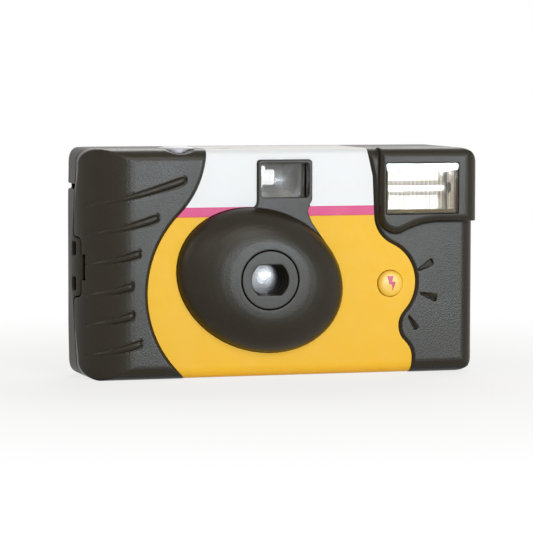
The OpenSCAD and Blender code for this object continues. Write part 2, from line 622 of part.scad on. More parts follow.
// Front lens of the viewfinder, hollow ground
module viewfinder_lens() {
  y = inner_front_y + 3;
  color([0.75, 0.85, 0.95, 0.5]) difference() {
    box([vf_x - 7.8, y, vf_z - 5.55], [vf_x + 7.8, y + 2.2, vf_z + 5.45]);
    translate([vf_x, y - 14.4, vf_z]) sphere(r = 15.4);
  }
}
module eyepiece_lens() {
  color([0.75, 0.85, 0.95, 0.5]) union() {
    from_front(inner_back_y - 1, back_y - 0.5)
      polygon(round_box(vf_x - 4.5, vf_x + 4.5, vf_z - 3.8, vf_z + 3.8, [1, 1, 1, 1], 4));
    box([vf_x - 5.6, inner_back_y - 1, vf_z - 4.8], [vf_x + 5.6, inner_back_y - eps, vf_z + 4.8]);
  }
}
module counter_window() {
  color([0.8, 0.88, 0.95, 0.5]) union() {
    rod_z(win_x, win_y, top_z - 2.1, top_z - 0.35, 2.2);
    rod_z(win_x, win_y, top_z - 2.1, top_z - wall - eps, 2.8);
  }
}

// Clear flash window with ribs on its back
module flash_window() {
  y0 = front_y - bezel_rise + 0.15;
  color([0.9, 0.93, 0.96, 0.6]) union() {
    box([fl_x - flash_w / 2 + 0.1, y0, fl_z - flash_h / 2 + 0.1],
      [fl_x + flash_w / 2 - 0.1, y0 + 1, fl_z + flash_h / 2 - 0.1]);
    for (i = [-7:7])
      box([fl_x + i * 1.3 - 0.2, y0 + 0.5, fl_z - 6.2], [fl_x + i * 1.3 + 0.2, y0 + 1.35, fl_z + 6.2]);
  }
}

// Bright trough round the flash tube
module flash_reflector() {
  y0 = front_y - bezel_rise + 1.7;
  y1 = front_y + 5.6;
  h = flash_h / 2 - 0.3;
  module trough(t) {
    polygon(concat([for (i = [-8:8]) let (k = i / 8)
      [y1 - t - (y1 - y0) * pow(abs(k), 2.2), fl_z + k * (h - t)]],
      [[y0 - t, fl_z + h - t], [y0 - t, fl_z - h + t]]));
  }
  w = flash_w / 2 - 0.4;
  color([0.85, 0.86, 0.88]) difference() {
    from_side(fl_x - w, fl_x + w) trough(0);
    from_side(fl_x - w + 0.6, fl_x + w - 0.6) trough(0.6);
    rod_x(fl_x - 12, fl_x + 12, front_y + 3.2, fl_z, 1.6);
  }
}
module flash_tube() {
  y = front_y + 3.2;
  color([0.9, 0.93, 0.95, 0.6]) union() {
    rod_x(fl_x - 10.9, fl_x + 10.9, y, fl_z, 1.3);
    rod_x(fl_x - 12, fl_x + 12, y, fl_z, 0.4);
  }
}

// Circuit board behind the flash
module circuit_board() {
  color([0.35, 0.3, 0.12]) union() {
    box([vf_x + 13.6, pcb_y, lens_z - 9], [side_r - wall - 3.2, pcb_y + pcb_t, top_z - 2.5]);
  }
}
module flash_capacitor() {
  x = side_r - wall - 6.8;
  y = pcb_y + pcb_t + 8.2;
  color([0.12, 0.16, 0.3]) union() {
    rod_z(x, y, lens_z - 16, lens_z + 12, 5.7);
    rod_z(x, y, lens_z + 12, lens_z + 12.6, 4.6);
    for (d = [-1.8, 1.8]) {
      rod_z(x + d, y, lens_z + 12, lens_z + 15, 0.4);
      rod_y(x + d, pcb_y + pcb_t, y, lens_z + 14.6, 0.4);
    }
  }
}
module flash_transformer() {
  x = vf_x + 12.6;
  y = pcb_y + pcb_t;
  color([0.5, 0.38, 0.2]) union() {
    box([x, y, lens_z - 4], [x + 7.6, y + 2, lens_z + 6]);
    box([x + 0.6, y + 2, lens_z - 2.6], [x + 7, y + 6, lens_z + 4.6]);
    box([x, y + 6, lens_z - 4], [x + 7.6, y + 8, lens_z + 6]);
  }
}
module trigger_coil() {
  y = pcb_y + pcb_t;
  color([0.55, 0.3, 0.12]) union() {
    rod_x(sup_x - 8.6, sup_x - 1.4, y + 2.32, lens_z + 23.5, 1.9);
    for (x = [sup_x - 8.6, sup_x - 2]) rod_x(x, x + 0.6, y + 2.32, lens_z + 23.5, 2.3);
  }
}
module board_parts() {
  y = pcb_y;
  color([0.2, 0.2, 0.22]) union() {
    box([sup_x - 16.5, y - 3.5, lens_z - 7], [sup_x - 12, y, lens_z - 3]);
    box([sup_x - 8.5, y - 2.2, lens_z + 8], [sup_x - 4.5, y, lens_z + 11.5]);
    for (i = [0:2]) {
      rod_x(sup_x - 15 + 5 * i, sup_x - 11.4 + 5 * i, y - 1, lens_z + 5, 0.95);
      rod_x(sup_x + 6.4, sup_x + 10.4, y - 1, lens_z - 6.4 + 3.4 * i, 0.95);
    }
    box([sup_x + 14, y - 3, lens_z - 6], [sup_x + 19, y, lens_z]);
  }
}

// Glow lamp beside the eyepiece, on its own leads
module ready_lamp() {
  z = vf_z + 0.3;
  color([0.95, 0.6, 0.35, 0.6]) union() {
    rod_y(lamp_x, gate_y - 6, inner_back_y - 1.5, z, 1.6);
    translate([lamp_x, inner_back_y - 1.5, z]) sphere(r = 1.2);
    for (d = [-0.8, 0.8]) rod_y(lamp_x + d, pcb_y + pcb_t, gate_y - 5, z, 0.3);
  }
}
module lamp_window() {
  color([0.9, 0.35, 0.2, 0.6]) rod_y(lamp_x, inner_back_y + 0.05, back_y - 0.2, vf_z + 0.3, 1.7);
}

// Spring strip behind the flash button
module charge_leaf() {
  y = front_y + 4.9;
  color([0.8, 0.65, 0.3]) union() {
    box([fb_x - 5, y, fb_z - 1], [fb_x + 5.4, y + 0.2, fb_z + 1]);
    box([fb_x + 4.6, y, fb_z - 1], [fb_x + 5.4, pcb_y, fb_z + 1]);
  }
}
module sync_contacts() {
  color([0.8, 0.65, 0.3]) for (x = [lens_x - 3.2, lens_x - 1.9])
    box([x, plate_y - 2.6, lens_z + 11], [x + 0.25, plate_y, lens_z + 16]);
}

// AA cell along the bottom of the front
module battery() {
  x1 = cell_x0 + cell_len;
  color([0.25, 0.27, 0.3]) union() {
    rod_x(cell_x0, x1, cell_y, cell_z, cell_r);
    rod_x(x1 - 1, x1 + 1, cell_y, cell_z, 2.75);
  }
}
module positive_contact() {
  x = cell_x0 + cell_len + 1.05;
  y = pcb_y + pcb_t + eps;
  color([0.75, 0.7, 0.6]) union() {
    box([x, cell_y - 3, cell_z - 4], [x + 0.4, cell_y + 2.6, lens_z - 9.4]);
    box([x, y, lens_z - 10], [x + 0.4, cell_y + 2.6, lens_z - 6]);
    box([x, y, lens_z - 8], [x + 3, y + 0.4, lens_z - 6]);
  }
}
module negative_contact() {
  x = cell_x0 - 0.5;
  color([0.75, 0.7, 0.6]) union() {
    box([x, cell_y - 5, cell_z - 4], [x + 0.4, cell_y + 2.4, cell_z + 4]);
    box([x, cell_y - 5, cell_z + 3], [x + 0.4, cell_y - 3, lens_z + 4]);
  }
}

// Film cassette: can with its felt lip, and the two end caps
module cassette_can() {
  z0 = cas_z0 + 1.2;
  z1 = cas_z1 - 1.2;
  skin_t = 0.35;
  lip_x = lens_x - 21.3;
  slit = cas_y + cassette_r - 1.65;
  color([0.75, 0.6, 0.2]) difference() {
    union() {
      rod_z(cas_x, cas_y, z0, z1, cassette_r);
      box([cas_x, cas_y + cassette_r - skin_t, z0], [lip_x, cas_y + cassette_r, z1]);
      box([cas_x + 4, slit - skin_t, z0], [lip_x, slit, z1]);
    }
    rod_z(cas_x, cas_y, z0 - 1, z1 + 1, cassette_r - skin_t);
    box([cas_x + 2.5, slit, z0 - 1], [cas_x + 9, cas_y + cassette_r - skin_t, z1 + 1]);
  }
}
module cassette_caps() {
  color([0.7, 0.7, 0.72]) for (z = [cas_z0, cas_z1 - 1.2]) difference() {
    rod_z(cas_x, cas_y, z, z + 1.2, cassette_r + 0.1);
    rod_z(cas_x, cas_y, z - 1, z + 2, 5.5);
    rod_z(cas_x, cas_y, z == cas_z0 ? z - 1 : z + 0.7, z == cas_z0 ? z + 0.5 : z + 2, cassette_r - 1.2);
  }
}

// Film between the cassette and the supply roll, with its perforations
module film_strip() {
  x0 = lens_x - 23;
  x1 = sup_x - 0.5;
  pitch = 4.75;
  count = floor((x1 - x0 - 2) / pitch);
  color([0.35, 0.22, 0.15]) difference() {
    box([x0, film_y - 0.075, lens_z - 17.5], [x1, film_y + 0.075, lens_z + 17.5]);
    for (i = [0:count], s = [-1, 1]) let (x = x0 + 0.8 + pitch * i, z = lens_z + s * 14.1)
      box([x, film_y - 1, z - 1.4], [x + 1.98, film_y + 1, z + 1.4]);
  }
}

// Ratchet strip that keeps the thumbwheel from turning back
module wheel_pawl() {
  x = spr_x - 6.6;
  color([0.5, 0.5, 0.5]) union() {
    box([x, cas_y + 1, deck_z], [x + 0.7, cas_y + 9, deck_z + 3.6]);
    from_top(deck_z + 0.8, deck_z + 3.6)
      polygon([[x + 0.1, cas_y + 2], [x + 0.1, cas_y + 5], [x - 0.35, cas_y + 2.4]]);
    box([x, cas_y + 7.4, deck_z], [x + 2.2, cas_y + 9, deck_z + 3.6]);
  }
}

// Crowned shutter button with its guide flange and push rod
module shutter_button() {
  function egg(k, z) = [for (i = [0:35])
    [btn_x + 5.7 * k * cos(-10 * i), btn_y + 3.6 * k * sin(-10 * i), z]];
  color([0.8, 0.79, 0.82]) union() {
    skin([for (a = [0:15:90]) let (k = a == 90 ? 0.08 : cos(a) * 0.72 + 0.28)
      egg(a == 0 ? 1 : k, a == 0 ? top_z - 3 : top_z - 0.3 + button_crown * sin(a))]);
    from_top(top_z - 3, top_z - wall - 0.15) translate([btn_x, btn_y]) oval(6.6, 4.1);
    rod_z(btn_x + 0.6, btn_y - 1.6, lev_z + 1.25, top_z - 2.5, 0.8);
  }
}

// Rocker between the shutter button and the striker
module release_lever() {
  y = lev_y;
  color([0.62, 0.62, 0.64]) union() {
    rod_y(lev_x, y, y + 2, lev_z, 1.3);
    rod_y(lev_x, y - 0.85, y + 2.85, lev_z, 0.8);
    box([lev_x - 5.1, y + 0.1, lev_z - 0.3], [lev_x, y + 1.9, lev_z + 0.95]);
    box([lev_x, y + 0.1, lev_z - 0.1], [lev_x + 3.6, y + 1.9, lev_z + 0.9]);
  }
}

// Domed flash button with a flange behind the front wall
module flash_button() {
  function disc(r, y) = [for (i = [0:35]) [fb_x + r * cos(-10 * i), y, fb_z + r * sin(-10 * i)]];
  r = flash_button_r;
  color([0.96, 0.8, 0.28]) union() {
    skin(concat([disc(r, inner_front_y + 0.5)],
      [for (a = [0:15:75]) disc(r - 1.1 + 1.1 * cos(a), label_y - 0.15 - 0.95 * sin(a))],
      [disc(r - 1.3, label_y - 1.15), disc(0.5, label_y - 1.3)]));
    rod_y(fb_x, inner_front_y + 0.1, inner_front_y + 0.9, fb_z, r + 0.9);
    rod_y(fb_x, inner_front_y + 0.5, inner_front_y + 1.7, fb_z, 1.5);
  }
}

// Notched winding wheel with the key that turns the cassette spool
module thumbwheel() {
  n = wheel_notches;
  rim = [for (i = [0:n - 1], k = [0:2]) let (a = -360 * (i + [0, 0.38, 0.72][k]) / n,
    r = wheel_r - [0, 0.55, 0.3][k]) [r * cos(a), r * sin(a)]];
  color([0.2, 0.2, 0.21]) translate([cas_x, cas_y, 0]) difference() {
    union() {
      from_top(deck_z + 0.4, deck_z + 5.2) polygon(rim);
      cylinder(r = 3, h = deck_z + 1);
    }
    translate([0, 0, -1]) cylinder(r = 20, h = cas_z1 + 1.15);
    difference() {
      translate([0, 0, deck_z + 2.2]) cylinder(r = wheel_r - 2.6, h = 10);
      cylinder(r = 4.5, h = deck_z + 4.4);
      for (a = [0:60:120]) rotate(a) translate([-13, -0.6, 0]) cube([26, 1.2, deck_z + 3.8]);
    }
  }
  color([0.2, 0.2, 0.21])
    box([cas_x - 2.2, cas_y - 0.7, cas_z1 - 4.5], [cas_x + 2.2, cas_y + 0.7, cas_z1 + 1]);
}

// Spool inside the cassette with its first turns of film
module cassette_spool() {
  color([0.12, 0.12, 0.13]) translate([cas_x, cas_y, 0]) difference() {
    union() {
      translate([0, 0, cas_z0 + 0.3]) cylinder(r = 5.2, h = cas_z1 - cas_z0 - 0.3);
      for (z = [cas_z0 + 1.7, cas_z1 - 2.7]) translate([0, 0, z]) cylinder(r = 10.8, h = 1);
      translate([0, 0, lens_z - 17.5]) cylinder(r = 6.1, h = 35);
    }
    translate([0, 0, cas_z1 - 6]) cylinder(r = 2.9, h = 10);
    translate([0, 0, cas_z0 - 1]) cylinder(r = 2.9, h = 7);
  }
}

// Open spool that carries the unexposed film
module supply_spool() {
  color([0.1, 0.1, 0.11]) translate([sup_x, sup_y, lens_z]) difference() {
    union() {
      translate([0, 0, -18.2]) cylinder(r = 4, h = 36.4);
      for (z = [-18.2, 17.6]) translate([0, 0, z]) cylinder(r = 6.5, h = 0.6);
    }
    for (z = [-20, 16.2]) translate([0, 0, z]) cylinder(r = 1.55, h = 3.8);
  }
}
module film_roll() {
  color([0.35, 0.22, 0.15]) translate([sup_x, sup_y, lens_z - 17.4]) difference() {
    cylinder(r = roll_r, h = 34.8);
    translate([0, 0, -1]) cylinder(r = 4.03, h = 40);
  }
}

// Toothed wheel over the film perforations
module sprocket() {
  teeth = [for (i = [0:7], k = [0:3]) let (a = -45 * i + [7, 4, -4, -7][k])
    [0, 1, 1, 0][k] * spr_r * [cos(a), sin(a)] + [1, 0, 0, 1][k] * 5.5 * [cos(a), sin(a)]];
  color([0.85, 0.85, 0.8]) translate([spr_x, spr_y, 0]) union() {
    from_top(lens_z + 13.4, lens_z + 14.8) polygon(teeth);
    translate([0, 0, lens_z + 13.4]) cylinder(r = 3.4, h = 3.4);
    translate([0, 0, lens_z + 13.4]) cylinder(r = 1.5, h = deck_z + 6.8 - lens_z - 13.4);
  }
}
module meter_cam() {
  color([0.75, 0.75, 0.7]) translate([spr_x, spr_y, 0]) difference() {
    union() {
      translate([0, 0, deck_z + 0.4]) cylinder(r = 3, h = 4);
      translate([0, 0, deck_z + 4.4]) cylinder(r = 2.4, h = 1.4);
      rotate(60) translate([0, -0.6, deck_z + 4.4]) cube([5.2, 1.2, 1.4]);
      rotate(200) translate([0, -2, deck_z + 1.4]) cube([4.4, 4, 1.4]);
    }
    translate([0, 0, deck_z]) cylinder(r = 1.51, h = 8);
  }
}

// Star wheel of the picture counter with its number dial
module counter_wheel() {
  n = 40;
  star = [for (i = [0:n - 1], k = [0:1]) let (a = -360 * (i + k / 2) / n, r = cnt_r - 0.55 * k)
    [r * cos(a), r * sin(a)]];
  color([0.95, 0.95, 0.93]) translate([cnt_x, cnt_y, 0]) difference() {
    from_top(deck_z + 4.5, deck_z + 5.7) polygon(star);
    translate([0, 0, deck_z]) cylinder(r = 1.26, h = 10);
  }
}

// Sprung lever that strikes the shutter blade
module striker_lever() {
  z = deck_z + 1.6;
  tip = [lens_x - 11.2, front_y + 3.6];
  ang = atan2(tip[1] - str_y, tip[0] - str_x);
  reach = norm([tip[0] - str_x, tip[1] - str_y]);
  color([0.66, 0.66, 0.68]) union() {
    difference() {
      union() {
        rod_z(str_x, str_y, deck_z + 0.4, z + 1, 1.9);
        translate([str_x, str_y, z]) rotate(ang) translate([0, -1.1, 0]) cube([reach + 0.8, 2.2, 1]);
      }
      rod_z(str_x, str_y, deck_z, z + 2, 1.26);
    }
    box([tip[0] - 0.8, tip[1] - 0.8, lens_z + 12], [tip[0] + 0.8, tip[1] + 0.6, z + 0.5]);
  }
}

// Coil of round wire about an axis along Z, with straight ends
module coil(r, wire, pitch, turns) {
  steps = 14;
  n = floor(turns * steps);
  skin([for (i = [0:n]) let (a = 360 * i / steps, u = [cos(a), sin(a)])
    [for (k = [0:5]) let (b = 60 * k) [u[0] * (r + wire * cos(b)), u[1] * (r + wire * cos(b)),
      pitch * i / steps + wire * sin(b)]]]);
}
module striker_spring() {
  color([0.7, 0.7, 0.7]) translate([str_x, str_y, deck_z + 0.3]) coil(2.35, 0.16, 0.34, 3);
}

// Thin blade that hangs before the light box, with the lug that the striker hits
module shutter_blade() {
  y0 = plate_y - 0.8;
  color([0.08, 0.08, 0.09]) difference() {
    union() {
      from_front(y0, y0 + 0.3) polygon(grow_arm());
      rod_y(lens_x, y0, y0 + 0.3, lens_z, 2.6);
      rod_y(blade_x, y0, y0 + 0.3, blade_z, 2);
      box([blade_x - 1.4, y0 - 2.4, blade_z + 5], [blade_x, y0 + 0.3, blade_z + 8]);
    }
    rod_y(blade_x, y0 - 4, y0 + 2, blade_z, 0.96);
  }
}
function grow_arm() = let (d = unit([lens_x - blade_x, lens_z - blade_z]), n = [-d[1], d[0]])
  [[blade_x, blade_z] - 1.3 * n, [blade_x - 1.4, blade_z], [blade_x - 1.4, blade_z + 8],
   [blade_x, blade_z + 8], [blade_x + 1.2, blade_z + 1.2],
   [lens_x, lens_z] + 1.6 * n, [lens_x, lens_z] - 1.6 * n];
module blade_spring() {
  color([0.7, 0.7, 0.7]) translate([blade_x, plate_y - 2.4, blade_z]) rotate([-90, 0, 0])
    coil(1.35, 0.14, 0.32, 3.2);
}

front_cover();
rear_cover();
wrap_label();
main_frame();
viewfinder_tube();
mechanism_keeper();
lens_board();
lens_retainer();
front_lens();
aperture_stop();
rear_lens();
viewfinder_lens();
eyepiece_lens();
counter_window();
flash_window();
flash_reflector();
flash_tube();
circuit_board();
flash_capacitor();
flash_transformer();
trigger_coil();
board_parts();
ready_lamp();
lamp_window();
charge_leaf();
sync_contacts();
battery();
positive_contact();
negative_contact();
cassette_can();
cassette_caps();
film_strip();
wheel_pawl();
shutter_button();
release_lever();
flash_button();
thumbwheel();
cassette_spool();
supply_spool();
film_roll();
sprocket();
meter_cam();
counter_wheel();
striker_lever();
striker_spring();
shutter_blade();
blade_spring();
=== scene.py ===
"""Looks of a single-use 35 mm film camera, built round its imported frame.

The covers, buttons and wheel are softened copies of the solids, as a mould leaves them.
The other nodes keep their meshes and get finishes of their own.
"""

from __future__ import annotations

import json
import logging
import math
from dataclasses import dataclass, field
from enum import Enum
from typing import Sequence

import bmesh
import bpy
import numpy as np
from mathutils import Matrix, Vector
from mathutils.bvhtree import BVHTree

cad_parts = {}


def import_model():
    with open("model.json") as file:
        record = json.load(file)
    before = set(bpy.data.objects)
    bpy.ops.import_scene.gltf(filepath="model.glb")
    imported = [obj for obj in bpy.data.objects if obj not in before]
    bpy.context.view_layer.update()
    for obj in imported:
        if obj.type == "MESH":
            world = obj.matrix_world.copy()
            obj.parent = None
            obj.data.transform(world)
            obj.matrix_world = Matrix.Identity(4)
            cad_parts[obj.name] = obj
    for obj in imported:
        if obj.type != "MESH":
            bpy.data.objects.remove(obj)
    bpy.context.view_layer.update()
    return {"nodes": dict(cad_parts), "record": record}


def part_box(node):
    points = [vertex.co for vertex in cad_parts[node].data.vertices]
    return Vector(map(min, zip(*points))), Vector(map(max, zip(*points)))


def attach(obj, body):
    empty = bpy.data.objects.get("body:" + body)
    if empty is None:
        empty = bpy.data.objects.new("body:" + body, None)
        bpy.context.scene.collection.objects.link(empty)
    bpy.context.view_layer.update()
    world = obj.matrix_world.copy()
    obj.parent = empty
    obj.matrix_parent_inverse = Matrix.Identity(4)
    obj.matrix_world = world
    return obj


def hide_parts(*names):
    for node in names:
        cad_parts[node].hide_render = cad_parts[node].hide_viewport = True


LOG = logging.getLogger("film_camera")
MM = 0.001
WELD_REACH = 0.001 * MM
SMOOTHING = 0.5
NOISE_SPAN = (0.3, 0.7)
WHITE = (1.0, 1.0, 1.0)
HOUSING = "housing"

Colour = tuple[float, float, float]


def srgb(red: int, green: int, blue: int) -> Colour:
    """Turns a colour as a picture program shows it into linear light.

    Args:
        red: Red from 0 to 255.
        green: Green from 0 to 255.
        blue: Blue from 0 to 255.

    Returns:
        The linear colour.
    """
    def linear(value: int) -> float:
        """Returns one channel in linear light."""
        share = value / 255
        return share / 12.92 if share <= 0.04045 else ((share + 0.055) / 1.055) ** 2.4

    return linear(red), linear(green), linear(blue)


def shade(colour: Colour, factor: float) -> Colour:
    """Makes a colour darker or paler.

    Args:
        colour: Linear colour.
        factor: Factor on each channel.

    Returns:
        The new colour, at most white.
    """
    red, green, blue = (min(1.0, channel * factor) for channel in colour)
    return red, green, blue


def link_object(name: str, data: bpy.types.ID) -> bpy.types.Object:
    """Puts a new object into the scene.

    Args:
        name: Name of the object.
        data: Its mesh, curve, lamp or camera.

    Returns:
        The new object.
    """
    piece = bpy.data.objects.new(name, data)
    bpy.context.scene.collection.objects.link(piece)
    return piece


def seen_rays(tree: bpy.types.NodeTree) -> bpy.types.NodeSocket:
    """Tells the rays that show a surface from those that only light it.

    Args:
        tree: Node tree that the nodes go into.

    Returns:
        One for a camera, glossy or transmission ray, and nought for the rest.
    """
    rays = tree.nodes.new("ShaderNodeLightPath").outputs
    seen = rays["Is Camera Ray"]
    for name in ("Is Glossy Ray", "Is Transmission Ray"):
        either = tree.nodes.new("ShaderNodeMath")
        either.operation = "MAXIMUM"
        tree.links.new(seen, either.inputs[0])
        tree.links.new(rays[name], either.inputs[1])
        seen = either.outputs[0]
    return seen


class Grain(Enum):
    """Surface that the mould or the rolling leaves: cell size in mm and depth in mm."""

    SPARK = (0.26, 0.022)
    SATIN = (0.16, 0.008)
    FILM = (1.60, 0.004)
    PLAIN = (0.50, 0.004)

    @property
    def cells_per_metre(self) -> float:
        """Noise scale that gives this cell size."""
        return 1 / (self.value[0] * MM)

    @property
    def depth(self) -> float:
        """Depth of the grain in metres."""
        return self.value[1] * MM


class Wiring:
    """Small helper that adds nodes to one material and joins them."""

    def __init__(self, name: str) -> None:
        """Starts an empty material.

        Args:
            name: Name of the material.
        """
        self.material = bpy.data.materials.new(name)
        self.material.use_nodes = True
        self.tree = self.material.node_tree
        self.tree.nodes.clear()
        self.output = self.tree.nodes.new("ShaderNodeOutputMaterial")

    def add(self, kind: str, **sockets: object) -> bpy.types.Node:
        """Adds a node and fills its inputs.

        Args:
            kind: Blender's name of the node type, without the common prefix.
            **sockets: Input values by socket name, with _ for a space, or a socket to join.

        Returns:
            The new node.
        """
        node = self.tree.nodes.new("ShaderNode" + kind)
        for name, value in sockets.items():
            self.feed(node.inputs[name.replace("_", " ")], value)
        return node

    def feed(self, socket: bpy.types.NodeSocket, value: object) -> None:
        """Sets one input, or joins it to another node's output.

        Args:
            socket: Input that is fed.
            value: A number, a colour or an output socket.
        """
        if isinstance(value, bpy.types.NodeSocket):
            self.tree.links.new(value, socket)
        elif isinstance(value, tuple) and socket.type == "RGBA":
            socket.default_value = (*value, 1)
        else:
            socket.default_value = value

    def place(self, stretch: tuple[float, float, float] = (1, 1, 1)) -> bpy.types.NodeSocket:
        """Finds the place on the piece in metres, in the part's own frame.

        Args:
            stretch: Factors on the three axes, for marks that run one way.

        Returns:
            The place.
        """
        place = self.add("TexCoord").outputs["Object"]
        if stretch == (1, 1, 1):
            return place
        return self.add("Mapping", Vector=place, Scale=stretch).outputs["Vector"]

    def noise(self, scale: float, detail: float = 2,
              stretch: tuple[float, float, float] = (1, 1, 1)) -> bpy.types.NodeSocket:
        """Adds a noise over the piece.

        Args:
            scale: Cells per metre.
            detail: Octaves.
            stretch: Factors on the three axes.

        Returns:
            The noise value from 0 to 1.
        """
        node = self.add("TexNoise", Vector=self.place(stretch), Scale=scale, Detail=detail)
        return node.outputs["Fac"]

    def cells(self, scale: float) -> bpy.types.NodeSocket:
        """Adds rounded cells, as spark erosion leaves in a mould.

        Args:
            scale: Cells per metre.

        Returns:
            The distance from each cell's middle.
        """
        node = self.add("TexVoronoi", Vector=self.place(), Scale=scale)
        return node.outputs["Distance"]

    def span(self, value: bpy.types.NodeSocket, start: float, end: float,
             low: float, high: float) -> bpy.types.NodeSocket:
        """Maps one range to another and stops at its ends.

        Args:
            value: Value that is mapped.
            start: Value that gives low.
            end: Value that gives high.
            low: Result at the start.
            high: Result at the end.

        Returns:
            The mapped value.
        """
        node = self.add("MapRange", Value=value, From_Min=start, From_Max=end, To_Min=low, To_Max=high)
        return node.outputs["Result"]

    def spread(self, value: bpy.types.NodeSocket, low: float, high: float) -> bpy.types.NodeSocket:
        """Maps a noise's middle range to two limits.

        Args:
            value: Noise from 0 to 1.
            low: Result at a low value.
            high: Result at a high value.

        Returns:
            The mapped value.
        """
        return self.span(value, *NOISE_SPAN, low, high)

    def reckon(self, operation: str, first: object, second: object) -> bpy.types.NodeSocket:
        """Works out one value from two.

        Args:
            operation: Blender's name of the operation.
            first: First value or socket.
            second: Second value or socket.

        Returns:
            The result.
        """
        node = self.add("Math")
        node.operation = operation
        self.feed(node.inputs[0], first)
        self.feed(node.inputs[1], second)
        return node.outputs[0]

    def blend(self, share: object, first: object, second: object) -> bpy.types.NodeSocket:
        """Mixes two colours.

        Args:
            share: Share of the second colour.
            first: First colour.
            second: Second colour.

        Returns:
            The mixed colour.
        """
        node = self.tree.nodes.new("ShaderNodeMix")
        node.data_type = "RGBA"
        # The node's colour sockets come after those for numbers and vectors
        self.feed(node.inputs[0], share)
        self.feed(node.inputs[6], first)
        self.feed(node.inputs[7], second)
        return node.outputs[2]

    def bump(self, height: bpy.types.NodeSocket, depth: float) -> bpy.types.NodeSocket:
        """Adds a bump.

        Args:
            height: Height from 0 to 1.
            depth: Full height in metres.

        Returns:
            The bent normal.
        """
        node = self.add("Bump", Strength=1.0, Distance=depth, Height=height)
        return node.outputs["Normal"]

    def layer(self, share: bpy.types.NodeSocket, below: bpy.types.Node,
              above: bpy.types.Node) -> bpy.types.Node:
        """Lays one shader over another.

        Args:
            share: Share of the upper shader from 0 to 1.
            below: Shader below.
            above: Shader on top.

        Returns:
            The mixed shader.
        """
        both = self.add("MixShader", Fac=share)
        self.tree.links.new(below.outputs[0], both.inputs[1])
        self.tree.links.new(above.outputs[0], both.inputs[2])
        return both

    def close(self, shader: bpy.types.Node) -> bpy.types.Material:
        """Joins the shader to the output and hands the material over.

        Args:
            shader: Node whose first output is the surface.

        Returns:
            The finished material.
        """
        self.tree.links.new(shader.outputs[0], self.output.inputs["Surface"])
        return self.material


@dataclass(frozen=True)
class Plastic:
    """Moulded plastic with its grain, faint mottling, rubbed edges and painted shade in its hollows.

    Scales are cells per metre, rates are shares of the grain's own scale, and the reach is in mm.
    """

    name: str
    colour: Colour
    roughness: float = 0.5
    grain: Grain = Grain.SATIN
    mottle: float = 0.1
    edge: float = 0.0
    shine: float = 0.5
    cloud_scale: float = 140
    cloud_share: float = 0.55
    speck_rate: float = 0.4
    handled_scale: float = 70
    handled_span: tuple[float, float] = (-0.02, 0.03)
    cell_rate: float = 0.7
    rub_scale: float = 700
    rub_span: tuple[float, float] = (0.52, 0.6)
    rub_least: float = 0.3
    rub_paler: float = 2.0
    # Painted shade in creases and hollows: occlusion reach in mm, its span, share and darkness
    hollow_reach: float = 1.8
    hollow_span: tuple[float, float] = (0.94, 0.5)
    hollow_share: float = 0.96
    hollow_darker: float = 0.05

    def material(self) -> bpy.types.Material:
        """Builds the material of this plastic.

        Returns:
            The finished material.
        """
        wiring = Wiring(self.name)
        cells = self.grain.cells_per_metre
        clouds = wiring.spread(wiring.noise(self.cloud_scale, 3), 0, self.cloud_share)
        specks = wiring.spread(wiring.noise(cells * self.speck_rate), 0, 1 - self.cloud_share)
        patches = wiring.reckon("ADD", clouds, specks)
        dark = shade(self.colour, 1 - self.mottle)
        pale = shade(self.colour, 1 + self.mottle)
        colour = wiring.blend(patches, dark, pale)
        # Rubbed edges are wear; the same switch also paints shade into the hollows
        if self.edge:
            colour = self.worn(wiring, colour)
        smoothest, roughest = (self.roughness + step for step in self.handled_span)
        rough = wiring.spread(wiring.noise(self.handled_scale, 3), smoothest, roughest)
        height = wiring.noise(cells)
        if self.grain is Grain.SPARK:
            height = wiring.reckon("ADD", height, wiring.cells(cells * self.cell_rate))
        shader = wiring.add("BsdfPrincipled", Base_Color=colour, Roughness=rough,
                            Specular_IOR_Level=self.shine, Normal=wiring.bump(height, self.grain.depth))
        return wiring.close(shader)

    def worn(self, wiring: Wiring, colour: bpy.types.NodeSocket) -> bpy.types.NodeSocket:
        """Rubs the outer edges paler, as wear, and paints shade into the hollows.

        Args:
            wiring: Material that the nodes go into.
            colour: Colour of the plain surface.

        Returns:
            The colour with wear and painted shade.
        """
        point = wiring.add("NewGeometry").outputs["Pointiness"]
        patchy = wiring.spread(wiring.noise(self.rub_scale, 3), self.rub_least, 1)
        rubbed = wiring.reckon("MULTIPLY", wiring.span(point, *self.rub_span, 0, self.edge), patchy)
        colour = wiring.blend(rubbed, colour, shade(self.colour, self.rub_paler))
        # Painted shade: ambient occlusion darkens the colour in creases and hollows
        open_share = wiring.add("AmbientOcclusion", Distance=self.hollow_reach * MM).outputs["AO"]
        painted_hollow_shade = wiring.span(open_share, *self.hollow_span, 0, self.hollow_share)
        return wiring.blend(painted_hollow_shade, colour, shade(self.colour, self.hollow_darker))


